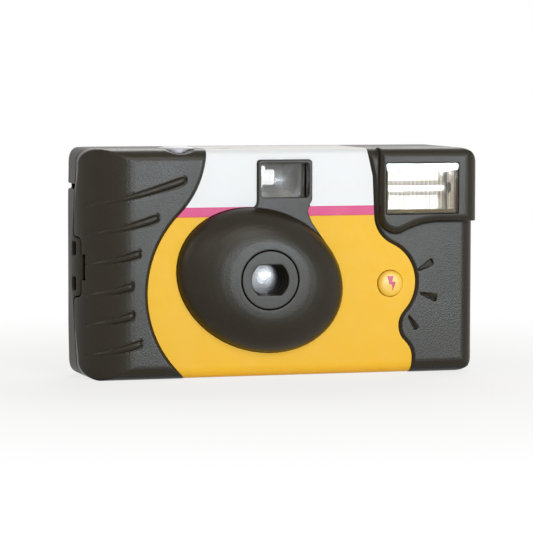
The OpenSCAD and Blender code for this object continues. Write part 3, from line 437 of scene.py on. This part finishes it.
@dataclass(frozen=True)
class Metal:
    """Bare or plated metal with fine rolling marks, and a dull cut edge at its front if it has one, tinted as
    a painted warm reflection.

    Scales are cells per metre, front is the place of the cut edge along Y in metres, and depths are in mm.
    """

    name: str
    colour: Colour
    roughness: float = 0.3
    cut_edge: Colour | None = None
    front: float = 0.0
    cut_span: tuple[float, float] = (0.1, 0.2)
    mark_scale: float = 900
    mark_stretch: tuple[float, float, float] = (1, 1, 8)
    mark_depth: float = 0.002
    rough_span: tuple[float, float] = (-0.06, 0.08)
    tint_scale: float = 300
    tint_darker: float = 0.9

    def material(self) -> bpy.types.Material:
        """Builds the material of this metal.

        Returns:
            The finished material.
        """
        wiring = Wiring(self.name)
        marks = wiring.noise(self.mark_scale, 4, self.mark_stretch)
        smoothest, roughest = (self.roughness + step for step in self.rough_span)
        rough = wiring.spread(marks, smoothest, roughest)
        cloudy = wiring.spread(wiring.noise(self.tint_scale), 0, 1)
        tint = wiring.blend(cloudy, shade(self.colour, self.tint_darker), self.colour)
        shader = wiring.add("BsdfPrincipled", Base_Color=tint, Metallic=1.0, Roughness=rough,
                            Normal=wiring.bump(marks, self.mark_depth * MM))
        return wiring.close(self.trimmed(wiring, shader, self.cut_edge) if self.cut_edge else shader)

    def trimmed(self, wiring: Wiring, bright: bpy.types.Node, edge_colour: Colour) -> bpy.types.Node:
        """Dulls the edge that was cut at the front of the piece and paints it a tint that stands in for a
        warm reflection.

        Args:
            wiring: Material that the nodes go into.
            bright: Shader of the polished faces.
            edge_colour: Colour of the cut edge, a painted warm reflection.

        Returns:
            The shader with the dull edge.
        """
        depth = wiring.add("SeparateXYZ", Vector=wiring.place()).outputs["Y"]
        start, end = (self.front + step * MM for step in self.cut_span)
        edge = wiring.span(depth, start, end, 1, 0)
        return wiring.layer(edge, bright, wiring.add("BsdfDiffuse", Color=edge_colour))


@dataclass(frozen=True)
class Clear:
    """Clear or tinted plastic that light goes through.

    The coat is a soft veil of reflection, gleam is the share of the plain reflection that is kept,
    scales are cells per metre and the ripple's depth is in mm.
    """

    name: str
    colour: Colour
    roughness: float = 0.02
    index: float = 1.49
    coat: float = 0.0
    gleam: float = 1.0
    rim: Colour | None = None
    rim_span: tuple[float, float] = (0.12, 0.06)
    coat_index: float = 2.0
    coat_roughness: float = 0.3
    ripple_scale: float = 260
    ripple_depth: float = 0.003
    rough_scale: float = 900
    rough_step: float = 0.015
    tint_scale: float = 240
    tint_darker: float = 0.97

    def material(self) -> bpy.types.Material:
        """Builds the material of this clear piece.

        Returns:
            The finished material.
        """
        wiring = Wiring(self.name)
        ripple = wiring.bump(wiring.noise(self.ripple_scale, 1), self.ripple_depth * MM)
        rough = wiring.spread(wiring.noise(self.rough_scale), self.roughness,
                              self.roughness + self.rough_step)
        cloudy = wiring.spread(wiring.noise(self.tint_scale), 0, 1)
        tint = wiring.blend(cloudy, shade(self.colour, self.tint_darker), self.colour)
        shader = wiring.add("BsdfPrincipled", Base_Color=tint, Roughness=rough, IOR=self.index,
                            Transmission_Weight=1.0, Normal=ripple, Specular_Tint=(self.gleam,) * 3,
                            Coat_Weight=self.coat, Coat_IOR=self.coat_index,
                            Coat_Roughness=self.coat_roughness)
        return wiring.close(self.frosted(wiring, shader, self.rim) if self.rim else shader)

    def frosted(self, wiring: Wiring, clear: bpy.types.Node, rim_colour: Colour) -> bpy.types.Node:
        """Dulls the rim of a lens or window that looks to the front, so that it doesn't shine; the flash
        window's tan rim is a painted warm reflection.

        Args:
            wiring: Material that the nodes go into.
            clear: Shader of the polished faces.
            rim_colour: Colour of the rim.

        Returns:
            The shader with the dull rim.
        """
        facing = wiring.add("SeparateXYZ", Vector=wiring.add("TexCoord").outputs["Normal"]).outputs["Y"]
        rim = wiring.span(wiring.reckon("MULTIPLY", facing, facing), *self.rim_span, 0, 1)
        return wiring.layer(rim, clear, wiring.add("BsdfDiffuse", Color=rim_colour))


@dataclass(frozen=True)
class Band:
    """One printed colour that starts at a height in mm and goes up."""

    start: float
    colour: Colour


@dataclass(frozen=True)
class Print:
    """Printed film whose colours lie in level bands, up to its top in mm."""

    name: str
    bands: tuple[Band, ...]
    top: float
    roughness: float = 0.5
    rough_scale: float = 500
    rough_step: float = 0.06
    shine: float = 0.14
    tone: Colour = srgb(255, 214, 150)
    tone_scale: float = 160
    tone_share: float = 0.06

    def material(self) -> bpy.types.Material:
        """Builds the material of the print.

        Returns:
            The finished material.
        """
        wiring = Wiring(self.name)
        height = wiring.add("SeparateXYZ", Vector=wiring.place()).outputs["Z"]
        share = wiring.span(height, 0.0, self.top * MM, 0, 1)
        ramp = wiring.add("ValToRGB", Fac=share)
        ramp.color_ramp.interpolation = "CONSTANT"
        stops = ramp.color_ramp.elements
        stops.remove(stops[1])
        stops[0].position = 0
        stops[0].color = (*self.bands[0].colour, 1)
        for band in self.bands[1:]:
            stops.new(band.start / self.top).color = (*band.colour, 1)
        faint = wiring.spread(wiring.noise(self.tone_scale, 4), 0, self.tone_share)
        colour = wiring.blend(faint, ramp.outputs["Color"], self.tone)
        rough = wiring.spread(wiring.noise(self.rough_scale), self.roughness - self.rough_step,
                              self.roughness + self.rough_step)
        peel = wiring.bump(wiring.noise(Grain.FILM.cells_per_metre), Grain.FILM.depth)
        shader = wiring.add("BsdfPrincipled", Base_Color=colour, Roughness=rough, Normal=peel,
                            Specular_IOR_Level=self.shine)
        return wiring.close(shader)


class Finishes:
    """All finishes of the camera by name, made once."""

    def __init__(self) -> None:
        """Builds every material."""
        charcoal = srgb(41, 36, 25)
        dull_black = srgb(14, 14, 15)
        reflector_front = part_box("flash_reflector")[0].y
        kinds = [
            Plastic("charcoal_shell", charcoal, 0.325, Grain.SPARK, 0.16, edge=0.1, shine=0.24),
            Plastic("charcoal_back", charcoal, 0.44, Grain.SPARK, 0.16, edge=0.1, shine=0.17),
            Plastic("black_inside", srgb(24, 24, 25), 0.55, Grain.PLAIN, 0.12, shine=0.3),
            Plastic("black_optics", charcoal, 0.325, Grain.SPARK, 0.16, edge=0.1, shine=0.24),
            # Painted shade: darker, duller charcoal for the sunk steps round the lens
            Plastic("shaded_steps", srgb(30, 27, 22), 0.5, Grain.SATIN, 0.1, shine=0.12),
            # Painted light: a pale grey for the black finder tube, standing in for the grey veil of reflected
            # light inside it
            Plastic("painted_veil_grey", srgb(196, 191, 182), 0.75, Grain.PLAIN, 0.1, shine=0.12),
            Plastic("grey_inside", srgb(135, 135, 138), 0.45, Grain.PLAIN, 0.06),
            Plastic("board_laminate", srgb(120, 92, 40), 0.5, Grain.PLAIN, 0.18),
            Plastic("dark_sleeve", srgb(34, 42, 84), 0.3, Grain.FILM, 0.05),
            Plastic("chip_black", srgb(44, 44, 47), 0.5, Grain.SATIN, 0.1),
            Plastic("cell_sleeve", srgb(62, 66, 72), 0.28, Grain.FILM, 0.06),
            Plastic("film_base", srgb(84, 52, 38), 0.22, Grain.FILM, 0.05),
            Plastic("silver_button", srgb(202, 198, 204), 0.36, Grain.SATIN, 0.05, edge=0.1),
            Plastic("yellow_button", srgb(246, 196, 66), 0.34, Grain.SATIN, 0.05),
            Plastic("wheel_plastic", srgb(50, 48, 44), 0.42, Grain.SATIN, 0.08, edge=0.2, shine=0.35),
            Plastic("white_gear", srgb(232, 230, 224), 0.42, Grain.SATIN, 0.03),
            Plastic("number_ink", srgb(28, 28, 30), 0.5, Grain.PLAIN, 0.05),
            Plastic("flash_ink", srgb(200, 44, 92), 0.42, Grain.PLAIN, 0.08),
            # Painted reflection: the reflector's cut front edge is tinted tan for the warm reflection along
            # it
            Metal("bright_reflector", srgb(248, 245, 238), 0.2, srgb(122, 106, 66), reflector_front),
            Metal("copper_wire", srgb(196, 118, 64), 0.35),
            Metal("spring_brass", srgb(212, 178, 104), 0.3),
            Metal("plated_steel", srgb(190, 190, 192), 0.3),
            Metal("lacquered_tin", srgb(204, 160, 72), 0.34),
            Clear("lens_plastic", (0.94, 0.95, 0.99), 0.03, coat=0.8, rim=dull_black),
            Clear("finder_plastic", (0.97, 0.98, 0.97), 0.03, coat=0.3, gleam=0.1, rim=dull_black),
            # Painted reflection: the flash window's rim is tinted tan for the warm reflection along it
            Clear("flash_plastic", (0.98, 0.97, 0.95), 0.02, rim=srgb(112, 96, 56)),
            Clear("window_plastic", (0.96, 0.97, 0.97), 0.02),
            Clear("amber_plastic", srgb(250, 150, 90), 0.08),
            Print("label_print", (
                Band(0.0, srgb(246, 192, 52)),
                Band(45.2, srgb(214, 84, 96)),
                Band(45.6, srgb(224, 92, 146)),
                Band(47.9, srgb(240, 241, 243)),
            ), 64.5),
        ]
        self.made = {kind.name: kind.material() for kind in kinds}

    def dress(self, piece: bpy.types.Object, finish: str) -> None:
        """Gives a piece one finish all over.

        Args:
            piece: Object with a mesh or a curve.
            finish: Name of the finish.
        """
        piece.data.materials.clear()
        piece.data.materials.append(self.made[finish])


@dataclass(frozen=True)
class Mould:
    """How a solid is softened: cell of the new mesh in mm, smoothing passes and share of faces kept."""

    cell: float
    passes: int
    share: float


@dataclass
class Workshop:
    """What every sub-assembly needs: the frame's nodes, its slots and the finishes."""

    nodes: dict[str, bpy.types.Object]
    slots: dict[str, str]
    finishes: Finishes
    made: list[str] = field(default_factory=list)

    def keep(self, node: str, finish: str, angle: float = 35) -> None:
        """Shows a node as it is, with smooth curves and a finish.

        Args:
            node: Name of the node.
            finish: Name of the finish.
            angle: Edges sharper than this stay sharp, in degrees.
        """
        piece = self.nodes[node]
        add_weld(piece)
        smooth_by_angle(piece, angle)
        self.finishes.dress(piece, finish)
        self.made.append(node)

    def soften(self, node: str, name: str, body: str, finish: str, mould: Mould) -> bpy.types.Object:
        """Makes a copy of a node with rounded edges, as a mould gives them, and shows it instead.

        Args:
            node: Name of the node.
            name: Name of the new piece.
            body: Body that the piece rides on.
            finish: Name of the finish.
            mould: Cell and passes of the softening.

        Returns:
            The new piece.
        """
        piece = link_object(name, self.nodes[node].data.copy())
        add_weld(piece)
        remesh = piece.modifiers.new("cells", "REMESH")
        remesh.mode = "VOXEL"
        remesh.voxel_size = mould.cell * MM
        add_smoothing(piece, "soft", mould.passes)
        bake_modifiers(piece)
        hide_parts(node)
        self.adopt(piece, body, finish, node)
        return piece

    def thin(self, piece: bpy.types.Object, mould: Mould) -> None:
        """Leaves out faces where the surface is even, and shades the rest smooth.

        Args:
            piece: Softened piece.
            mould: Share of the faces that is kept.
        """
        before = len(piece.data.polygons)
        fewer = piece.modifiers.new("fewer", "DECIMATE")
        fewer.ratio = mould.share
        bake_modifiers(piece)
        shade_smooth(piece)
        LOG.info("%s: %d faces of %d", piece.name, len(piece.data.polygons), before)

    def adopt(self, piece: bpy.types.Object, body: str, finish: str, node: str) -> None:
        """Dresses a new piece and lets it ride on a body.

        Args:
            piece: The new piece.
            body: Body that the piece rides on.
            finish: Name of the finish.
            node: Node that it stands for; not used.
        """
        self.finishes.dress(piece, finish)
        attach(piece, body)
        self.made.append(piece.name)


def mesh_object(name: str, points: Sequence[Sequence[float]],
                faces: Sequence[Sequence[int]]) -> bpy.types.Object:
    """Makes an object from points and faces.

    Args:
        name: Name of the object.
        points: Corners in metres.
        faces: Corner numbers of each face.

    Returns:
        The new object.
    """
    mesh = bpy.data.meshes.new(name)
    mesh.from_pydata(points, [], faces)
    mesh.update()
    return link_object(name, mesh)


def add_weld(piece: bpy.types.Object) -> None:
    """Joins the corners of a piece that lie at one place.

    Args:
        piece: Object with a mesh.
    """
    weld = piece.modifiers.new("weld", "WELD")
    weld.merge_threshold = WELD_REACH


def add_smoothing(piece: bpy.types.Object, name: str, passes: int) -> bpy.types.Modifier:
    """Adds a modifier that evens a mesh out.

    Args:
        piece: Object with a mesh.
        name: Name of the modifier.
        passes: Smoothing passes.

    Returns:
        The modifier.
    """
    soft = piece.modifiers.new(name, "SMOOTH")
    soft.factor = SMOOTHING
    soft.iterations = passes
    return soft


def bake_modifiers(piece: bpy.types.Object) -> None:
    """Turns a piece's modifiers into its mesh.

    Args:
        piece: Object whose modifiers are applied.
    """
    bpy.context.view_layer.update()
    graph = bpy.context.evaluated_depsgraph_get()
    mesh = bpy.data.meshes.new_from_object(piece.evaluated_get(graph))
    piece.modifiers.clear()
    piece.data = mesh


def shade_smooth(piece: bpy.types.Object) -> None:
    """Shades every face of a piece smooth.

    Args:
        piece: Object with a mesh.
    """
    piece.data.polygons.foreach_set("use_smooth", np.ones(len(piece.data.polygons), dtype=bool))
    piece.data.update()


def corner_places(piece: bpy.types.Object) -> np.ndarray:
    """Reads the places of a mesh's corners.

    Args:
        piece: Object with a mesh.

    Returns:
        The three rows x, y and z in metres.
    """
    places = np.empty(len(piece.data.vertices) * 3)
    piece.data.vertices.foreach_get("co", places)
    return places.reshape(-1, 3).T


def smooth_by_angle(piece: bpy.types.Object, angle: float) -> None:
    """Shades a piece smooth and keeps its sharp edges.

    Args:
        piece: Object with a mesh.
        angle: Least angle of a sharp edge in degrees.
    """
    shade_smooth(piece)
    split = piece.modifiers.new("edges", "EDGE_SPLIT")
    split.split_angle = math.radians(angle)


@dataclass
class Covers:
    """Front and rear covers with the printed label between them, with sizes in mm."""

    shop: Workshop
    front_mould: Mould = Mould(0.18, 2, 0.15)
    rear_mould: Mould = Mould(0.32, 2, 0.15)
    label_angle: float = 30
    dome_start: float = 1.4
    dome_reach: float = 25.5
    dome_passes: int = 40
    bore_gap: float = 1.0
    grip_width: float = 33.0
    grip_passes: int = 5
    seam_gap: float = 1.0

    def build(self) -> None:
        """Softens both covers and prints the label."""
        front = self.shop.soften("front_cover", "front_shell", HOUSING, "charcoal_shell", self.front_mould)
        self.even_out(front, "dome", self.dome_corners(front), self.dome_passes)
        self.even_out(front, "grip", self.grip_corners(front), self.grip_passes)
        self.shop.thin(front, self.front_mould)
        rear = self.shop.soften("rear_cover", "rear_shell", HOUSING, "charcoal_back", self.rear_mould)
        self.shop.thin(rear, self.rear_mould)
        self.shop.keep("wrap_label", "label_print", self.label_angle)

    def dome_corners(self, shell: bpy.types.Object) -> np.ndarray:
        """Finds the lens dome between its foot and the bore of the lens ring.

        Args:
            shell: Softened front cover.

        Returns:
            Numbers of the dome's corners.
        """
        low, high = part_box("lens_retainer")
        middle = (low + high) / 2
        bore = (high.x - low.x) / 2 + self.bore_gap * MM
        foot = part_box("wrap_label")[0].y - self.dome_start * MM
        x, y, z = corner_places(shell)
        radius = np.hypot(x - middle.x, z - middle.z)
        return np.flatnonzero((y < foot) & (radius > bore) & (radius < self.dome_reach * MM))

    def grip_corners(self, shell: bpy.types.Object) -> np.ndarray:
        """Finds the ribbed grip at the end of the cover.

        Args:
            shell: Softened front cover.

        Returns:
            Numbers of the grip's corners.
        """
        low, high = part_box("front_cover")
        x, y, _ = corner_places(shell)
        return np.flatnonzero((x < low.x + self.grip_width * MM) & (y < high.y - self.seam_gap * MM))

    def even_out(self, shell: bpy.types.Object, name: str, corners: np.ndarray, passes: int) -> None:
        """Smooths one region of a shell.

        Args:
            shell: Softened cover.
            name: Name of the region.
            corners: Numbers of the region's corners.
            passes: Smoothing passes.
        """
        shell.vertex_groups.new(name=name).add(corners.tolist(), 1.0, "REPLACE")
        add_smoothing(shell, name, passes).vertex_group = name
        bake_modifiers(shell)


@dataclass
class Optics:
    """Taking lens with its retainer, and the viewfinder. The painted shade on the sunk steps starts that many
    mm behind the front.
    """

    shop: Workshop
    ring_mould: Mould = Mould(0.14, 3, 0.3)
    step_start: float = 0.5

    def build(self) -> None:
        """Dresses the lens group and the viewfinder."""
        ring = self.shop.soften("lens_retainer", "lens_ring", HOUSING, "black_optics", self.ring_mould)
        self.shop.thin(ring, self.ring_mould)
        self.blacken_steps(ring)
        for node in ("lens_board", "aperture_stop"):
            self.shop.keep(node, "black_inside")
        # The finder tube's colour is painted light, not its own black
        self.shop.keep("viewfinder_tube", "painted_veil_grey")
        for node in ("front_lens", "rear_lens"):
            self.shop.keep(node, "lens_plastic")
        self.shop.keep("viewfinder_lens", "finder_plastic")
        for node in ("eyepiece_lens", "counter_window"):
            self.shop.keep(node, "window_plastic")

    def blacken_steps(self, ring: bpy.types.Object) -> None:
        """Paints shade on the sunk steps round the lens, as a darker and duller copy of its plastic.

        Args:
            ring: Softened lens retainer.
        """
        # Painted shade: faces behind this depth get the darker, duller plastic
        ring.data.materials.append(self.shop.finishes.made["shaded_steps"])
        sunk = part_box("lens_retainer")[0].y + self.step_start * MM
        for face in ring.data.polygons:
            face.material_index = int(face.center.y > sunk)


@dataclass
class FlashUnit:
    """Flash window, reflector and tube, the circuit behind them and the flash button, with sizes in mm."""

    shop: Workshop
    reflector_angle: float = 50
    cap_mould: Mould = Mould(0.1, 3, 0.3)
    bolt: tuple[tuple[float, float], ...] = (
        (-1.25, 2.15), (0.7, 2.15), (0.2, 0.65), (1.3, 0.45), (0.3, -2.15), (0.25, -0.3), (-0.6, -0.2),
    )
    bolt_cuts: int = 3
    bolt_drop: float = 5.0
    ink: float = 0.03

    def build(self) -> None:
        """Dresses the flash and puts its sign on the button."""
        self.shop.keep("flash_window", "flash_plastic")
        self.shop.keep("flash_reflector", "bright_reflector", self.reflector_angle)
        self.shop.keep("flash_tube", "window_plastic")
        self.shop.keep("circuit_board", "board_laminate")
        self.shop.keep("flash_capacitor", "dark_sleeve")
        for node in ("flash_transformer", "trigger_coil"):
            self.shop.keep(node, "copper_wire")
        self.shop.keep("board_parts", "chip_black")
        for node in ("ready_lamp", "lamp_window"):
            self.shop.keep(node, "amber_plastic")
        for node in ("charge_leaf", "sync_contacts"):
            self.shop.keep(node, "spring_brass")
        self.shop.keep("battery", "cell_sleeve")
        for node in ("positive_contact", "negative_contact"):
            self.shop.keep(node, "plated_steel")
        cap = self.shop.soften("flash_button", "flash_button_cap", "flash_button", "yellow_button",
                               self.cap_mould)
        self.shop.thin(cap, self.cap_mould)
        self.print_bolt(cap)

    def print_bolt(self, cap: bpy.types.Object) -> None:
        """Lays the flash sign on the button's crown as a thin skin of ink.

        Args:
            cap: Piece that carries the sign.
        """
        low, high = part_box("flash_button")
        middle = (low + high) / 2
        crown = BVHTree.FromObject(cap, bpy.context.evaluated_depsgraph_get())
        form = bmesh.new()
        corners = [form.verts.new((middle.x + x * MM, low.y, middle.z + z * MM)) for x, z in self.bolt]
        form.faces.new(corners)
        bmesh.ops.triangulate(form, faces=form.faces[:])
        bmesh.ops.subdivide_edges(form, edges=form.edges[:], cuts=self.bolt_cuts, use_grid_fill=True)
        drop = Vector((0, self.bolt_drop * MM, 0))
        for corner in form.verts:
            hit = crown.ray_cast(corner.co - drop, drop.normalized())[0]
            corner.co.y = hit.y - self.ink * MM
        inner = bmesh.ops.extrude_face_region(form, geom=form.faces[:])["geom"]
        for corner in inner:
            if isinstance(corner, bmesh.types.BMVert):
                corner.co.y += 2 * self.ink * MM
        bmesh.ops.recalc_face_normals(form, faces=form.faces[:])
        mesh = bpy.data.meshes.new("flash_sign")
        form.to_mesh(mesh)
        form.free()
        sign = link_object("flash_sign", mesh)
        self.shop.adopt(sign, "flash_button", "flash_ink", "flash_button")


@dataclass
class Transport:
    """Cassette, film, sprocket, counter and the winding wheel, with the figures' sizes in mm."""

    shop: Workshop
    wheel_mould: Mould = Mould(0.16, 2, 0.4)
    first_figure: int = 27
    figure_step: int = 3
    degrees_a_picture: float = 9.0
    figure_height: float = 1.25
    figure_radius: float = 3.1
    figure_ink: float = 0.02
    figure_steps: int = 3
    type_size: float = 1.35

    def build(self) -> None:
        """Dresses the film path, softens the wheel and prints the counter's figures."""
        for node in ("main_frame", "cassette_spool", "supply_spool"):
            self.shop.keep(node, "black_inside")
        for node in ("mechanism_keeper", "wheel_pawl"):
            self.shop.keep(node, "grey_inside")
        for node in ("cassette_can", "cassette_caps"):
            self.shop.keep(node, "lacquered_tin")
        for node in ("film_strip", "film_roll"):
            self.shop.keep(node, "film_base")
        for node in ("sprocket", "meter_cam", "counter_wheel"):
            self.shop.keep(node, "white_gear")
        wheel = self.shop.soften("thumbwheel", "winding_wheel", "advance_wheel", "wheel_plastic",
                                 self.wheel_mould)
        self.shop.thin(wheel, self.wheel_mould)
        self.print_figures()

    def print_figures(self) -> None:
        """Prints the numbers of pictures left round the counter's dial."""
        low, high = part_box("counter_wheel")
        axis = Vector(((low.x + high.x) / 2, (low.y + high.y) / 2, high.z))
        points: list[Vector] = []
        faces: list[list[int]] = []
        for figure in range(self.first_figure, -1, -self.figure_step):
            turn = math.radians(self.degrees_a_picture * (self.first_figure - figure))
            seat = (Matrix.Translation(axis) @ Matrix.Rotation(turn, 4, "Z")
                    @ Matrix.Translation((0, -self.figure_radius * MM, 0)) @ Matrix.Rotation(math.pi, 4, "Z"))
            mesh = self.figure_mesh(str(figure))
            start = len(points)
            points.extend(seat @ corner.co for corner in mesh.vertices)
            faces.extend([start + number for number in face.vertices] for face in mesh.polygons)
            bpy.data.meshes.remove(mesh)
        piece = mesh_object("dial_figures", points, faces)
        self.shop.adopt(piece, "counter", "number_ink", "counter_wheel")

    def figure_mesh(self, text: str) -> bpy.types.Mesh:
        """Makes one number as a thin plate that stands on its middle.

        Args:
            text: The number.

        Returns:
            The mesh of the number.
        """
        data = bpy.data.curves.new("figure", "FONT")
        data.body = text
        data.size = self.figure_height * MM * self.type_size
        data.align_x = "CENTER"
        data.align_y = "CENTER"
        data.extrude = self.figure_ink * MM
        data.resolution_u = self.figure_steps
        figure = link_object("figure", data)
        bpy.context.view_layer.update()
        graph = bpy.context.evaluated_depsgraph_get()
        mesh = bpy.data.meshes.new_from_object(figure.evaluated_get(graph))
        bpy.data.objects.remove(figure)
        bpy.data.curves.remove(data)
        return mesh


@dataclass
class Release:
    """Shutter button, release lever, striker and blade."""

    shop: Workshop
    cap_mould: Mould = Mould(0.12, 4, 0.3)
    spring_angle: float = 60

    def build(self) -> None:
        """Dresses the release and the shutter."""
        cap = self.shop.soften("shutter_button", "shutter_cap", "shutter_button", "silver_button",
                               self.cap_mould)
        self.shop.thin(cap, self.cap_mould)
        self.shop.keep("release_lever", "grey_inside")
        self.shop.keep("striker_lever", "plated_steel")
        self.shop.keep("shutter_blade", "black_inside")
        for node in ("striker_spring", "blade_spring"):
            self.shop.keep(node, "plated_steel", self.spring_angle)


@dataclass(frozen=True)
class Lamp:
    """One soft studio lamp: its bearing in degrees, its distance and size in metres, its power in watts."""

    name: str
    azimuth: float
    elevation: float
    distance: float
    size: tuple[float, float]
    power: float
    colour: Colour = WHITE


def bearing(azimuth: float, elevation: float) -> Vector:
    """Turns two angles into a direction from the part, with 0 straight in front of it.

    Args:
        azimuth: Degrees to the right seen from the front.
        elevation: Degrees up.

    Returns:
        The direction.
    """
    turn = math.radians(azimuth)
    lift = math.radians(elevation)
    return Vector((math.sin(turn) * math.cos(lift), -math.cos(turn) * math.cos(lift), math.sin(lift)))


@dataclass
class Studio:
    """Camera at the photograph's angle, pale floor and soft light.

    Angles are in degrees, the target, the focal length and the sensor in mm, the other lengths in metres.
    """

    azimuth: float = -16.858
    elevation: float = 4.06
    roll: float = 0.117
    distance: float = 0.82886
    focal: float = 199.25
    sensor: float = 36.0
    clip: tuple[float, float] = (0.05, 50.0)
    target: tuple[float, float, float] = (-5.019, -12.0, 31.338)
    ambient: Colour = (0.1, 0.085, 0.06)
    floor_half: float = 1.5
    floor_paper: float = 0.82
    melt_start: float = 0.06
    melt_end: float = 0.2
    melt_share: float = 0.78
    lamps: tuple[Lamp, ...] = (
        Lamp("strip", 17, 2, distance=1.2, size=(0.4, 0.12), power=8.3, colour=(0.83, 0.92, 1.0)),
        Lamp("window", 8, 30, distance=1.2, size=(0.5, 0.4), power=3.5, colour=(1.0, 0.97, 0.92)),
        Lamp("bulb", -30, 26, distance=1.0, size=(0.14, 0.14), power=0.5),
        Lamp("side", -88, 28, distance=1.0, size=(0.5, 0.5), power=1.6, colour=(1.0, 0.93, 0.8)),
        Lamp("behind", 150, 44, distance=1.4, size=(0.9, 0.7), power=10.0),
    )

    def build(self) -> None:
        """Sets up the camera, the floor, the lamps and the surround."""
        self.make_camera()
        self.make_floor()
        for lamp in self.lamps:
            self.make_lamp(lamp)
        self.make_world()
        bpy.context.scene.view_settings.view_transform = "Standard"

    def make_camera(self) -> None:
        """Puts the camera where the photograph was taken from."""
        back = bearing(self.azimuth, self.elevation)
        turn = math.radians(self.azimuth)
        right = Vector((math.cos(turn), math.sin(turn), 0))
        axes = Matrix((right, back.cross(right), back)).transposed().to_4x4()
        data = bpy.data.cameras.new("camera")
        data.lens = self.focal
        data.sensor_width = self.sensor
        data.clip_start, data.clip_end = self.clip
        camera = link_object("camera", data)
        place = Matrix.Translation(Vector(self.target) * MM + back * self.distance)
        camera.matrix_world = place @ axes @ Matrix.Rotation(math.radians(self.roll), 4, "Z")
        bpy.context.scene.camera = camera

    def make_floor(self) -> None:
        """Lays a white floor that keeps the shadow and melts into the surround."""
        half = self.floor_half
        corners = [(-half, -half, 0), (half, -half, 0), (half, half, 0), (-half, half, 0)]
        floor = mesh_object("floor", corners, [(0, 1, 2, 3)])
        wiring = Wiring("floor_white")
        radius = wiring.add("VectorMath", Vector=wiring.place())
        radius.operation = "LENGTH"
        melt = wiring.span(radius.outputs["Value"], self.melt_start, self.melt_end, self.melt_share, 1)
        share = wiring.reckon("MULTIPLY", seen_rays(wiring.tree), melt)
        paper = wiring.add("BsdfDiffuse", Color=(self.floor_paper,) * 3)
        glow = wiring.add("Emission", Color=WHITE, Strength=1.0)
        floor.data.materials.append(wiring.close(wiring.layer(share, paper, glow)))

    def make_lamp(self, lamp: Lamp) -> None:
        """Hangs one soft lamp that points at the part.

        Args:
            lamp: Bearing, size and power.
        """
        data = bpy.data.lights.new(lamp.name, "AREA")
        data.shape = "RECTANGLE"
        data.size, data.size_y = lamp.size
        data.energy = lamp.power
        data.color = lamp.colour
        light = link_object(lamp.name, data)
        way = bearing(lamp.azimuth, lamp.elevation)
        light.location = Vector(self.target) * MM + way * lamp.distance
        light.rotation_mode = "QUATERNION"
        light.rotation_quaternion = (-way).to_track_quat("-Z", "Y")

    def make_world(self) -> None:
        """Makes a surround that looks white and lights softly."""
        world = bpy.data.worlds.new("surround")
        bpy.context.scene.world = world
        world.use_nodes = True
        tree = world.node_tree
        tree.nodes.clear()
        output = tree.nodes.new("ShaderNodeOutputWorld")
        soft = tree.nodes.new("ShaderNodeBackground")
        soft.inputs["Color"].default_value = (*self.ambient, 1)
        paper = tree.nodes.new("ShaderNodeBackground")
        paper.inputs["Color"].default_value = (*WHITE, 1)
        both = tree.nodes.new("ShaderNodeMixShader")
        tree.links.new(seen_rays(tree), both.inputs["Fac"])
        tree.links.new(soft.outputs[0], both.inputs[1])
        tree.links.new(paper.outputs[0], both.inputs[2])
        tree.links.new(both.outputs[0], output.inputs["Surface"])


def main() -> None:
    """Builds the studio and each sub-assembly in order."""
    logging.basicConfig(level=logging.INFO, format="%(name)s: %(message)s")
    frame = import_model()
    slots = {row["node"]: row["material_slot"] for row in frame["record"]["subparts"]}
    Studio().build()
    shop = Workshop(frame["nodes"], slots, Finishes())
    for assembly in (Covers(shop), Optics(shop), FlashUnit(shop), Transport(shop), Release(shop)):
        start = len(shop.made)
        assembly.build()
        LOG.info("%s: %s", type(assembly).__name__, ", ".join(shop.made[start:]))


if __name__ == "__main__":
    main()
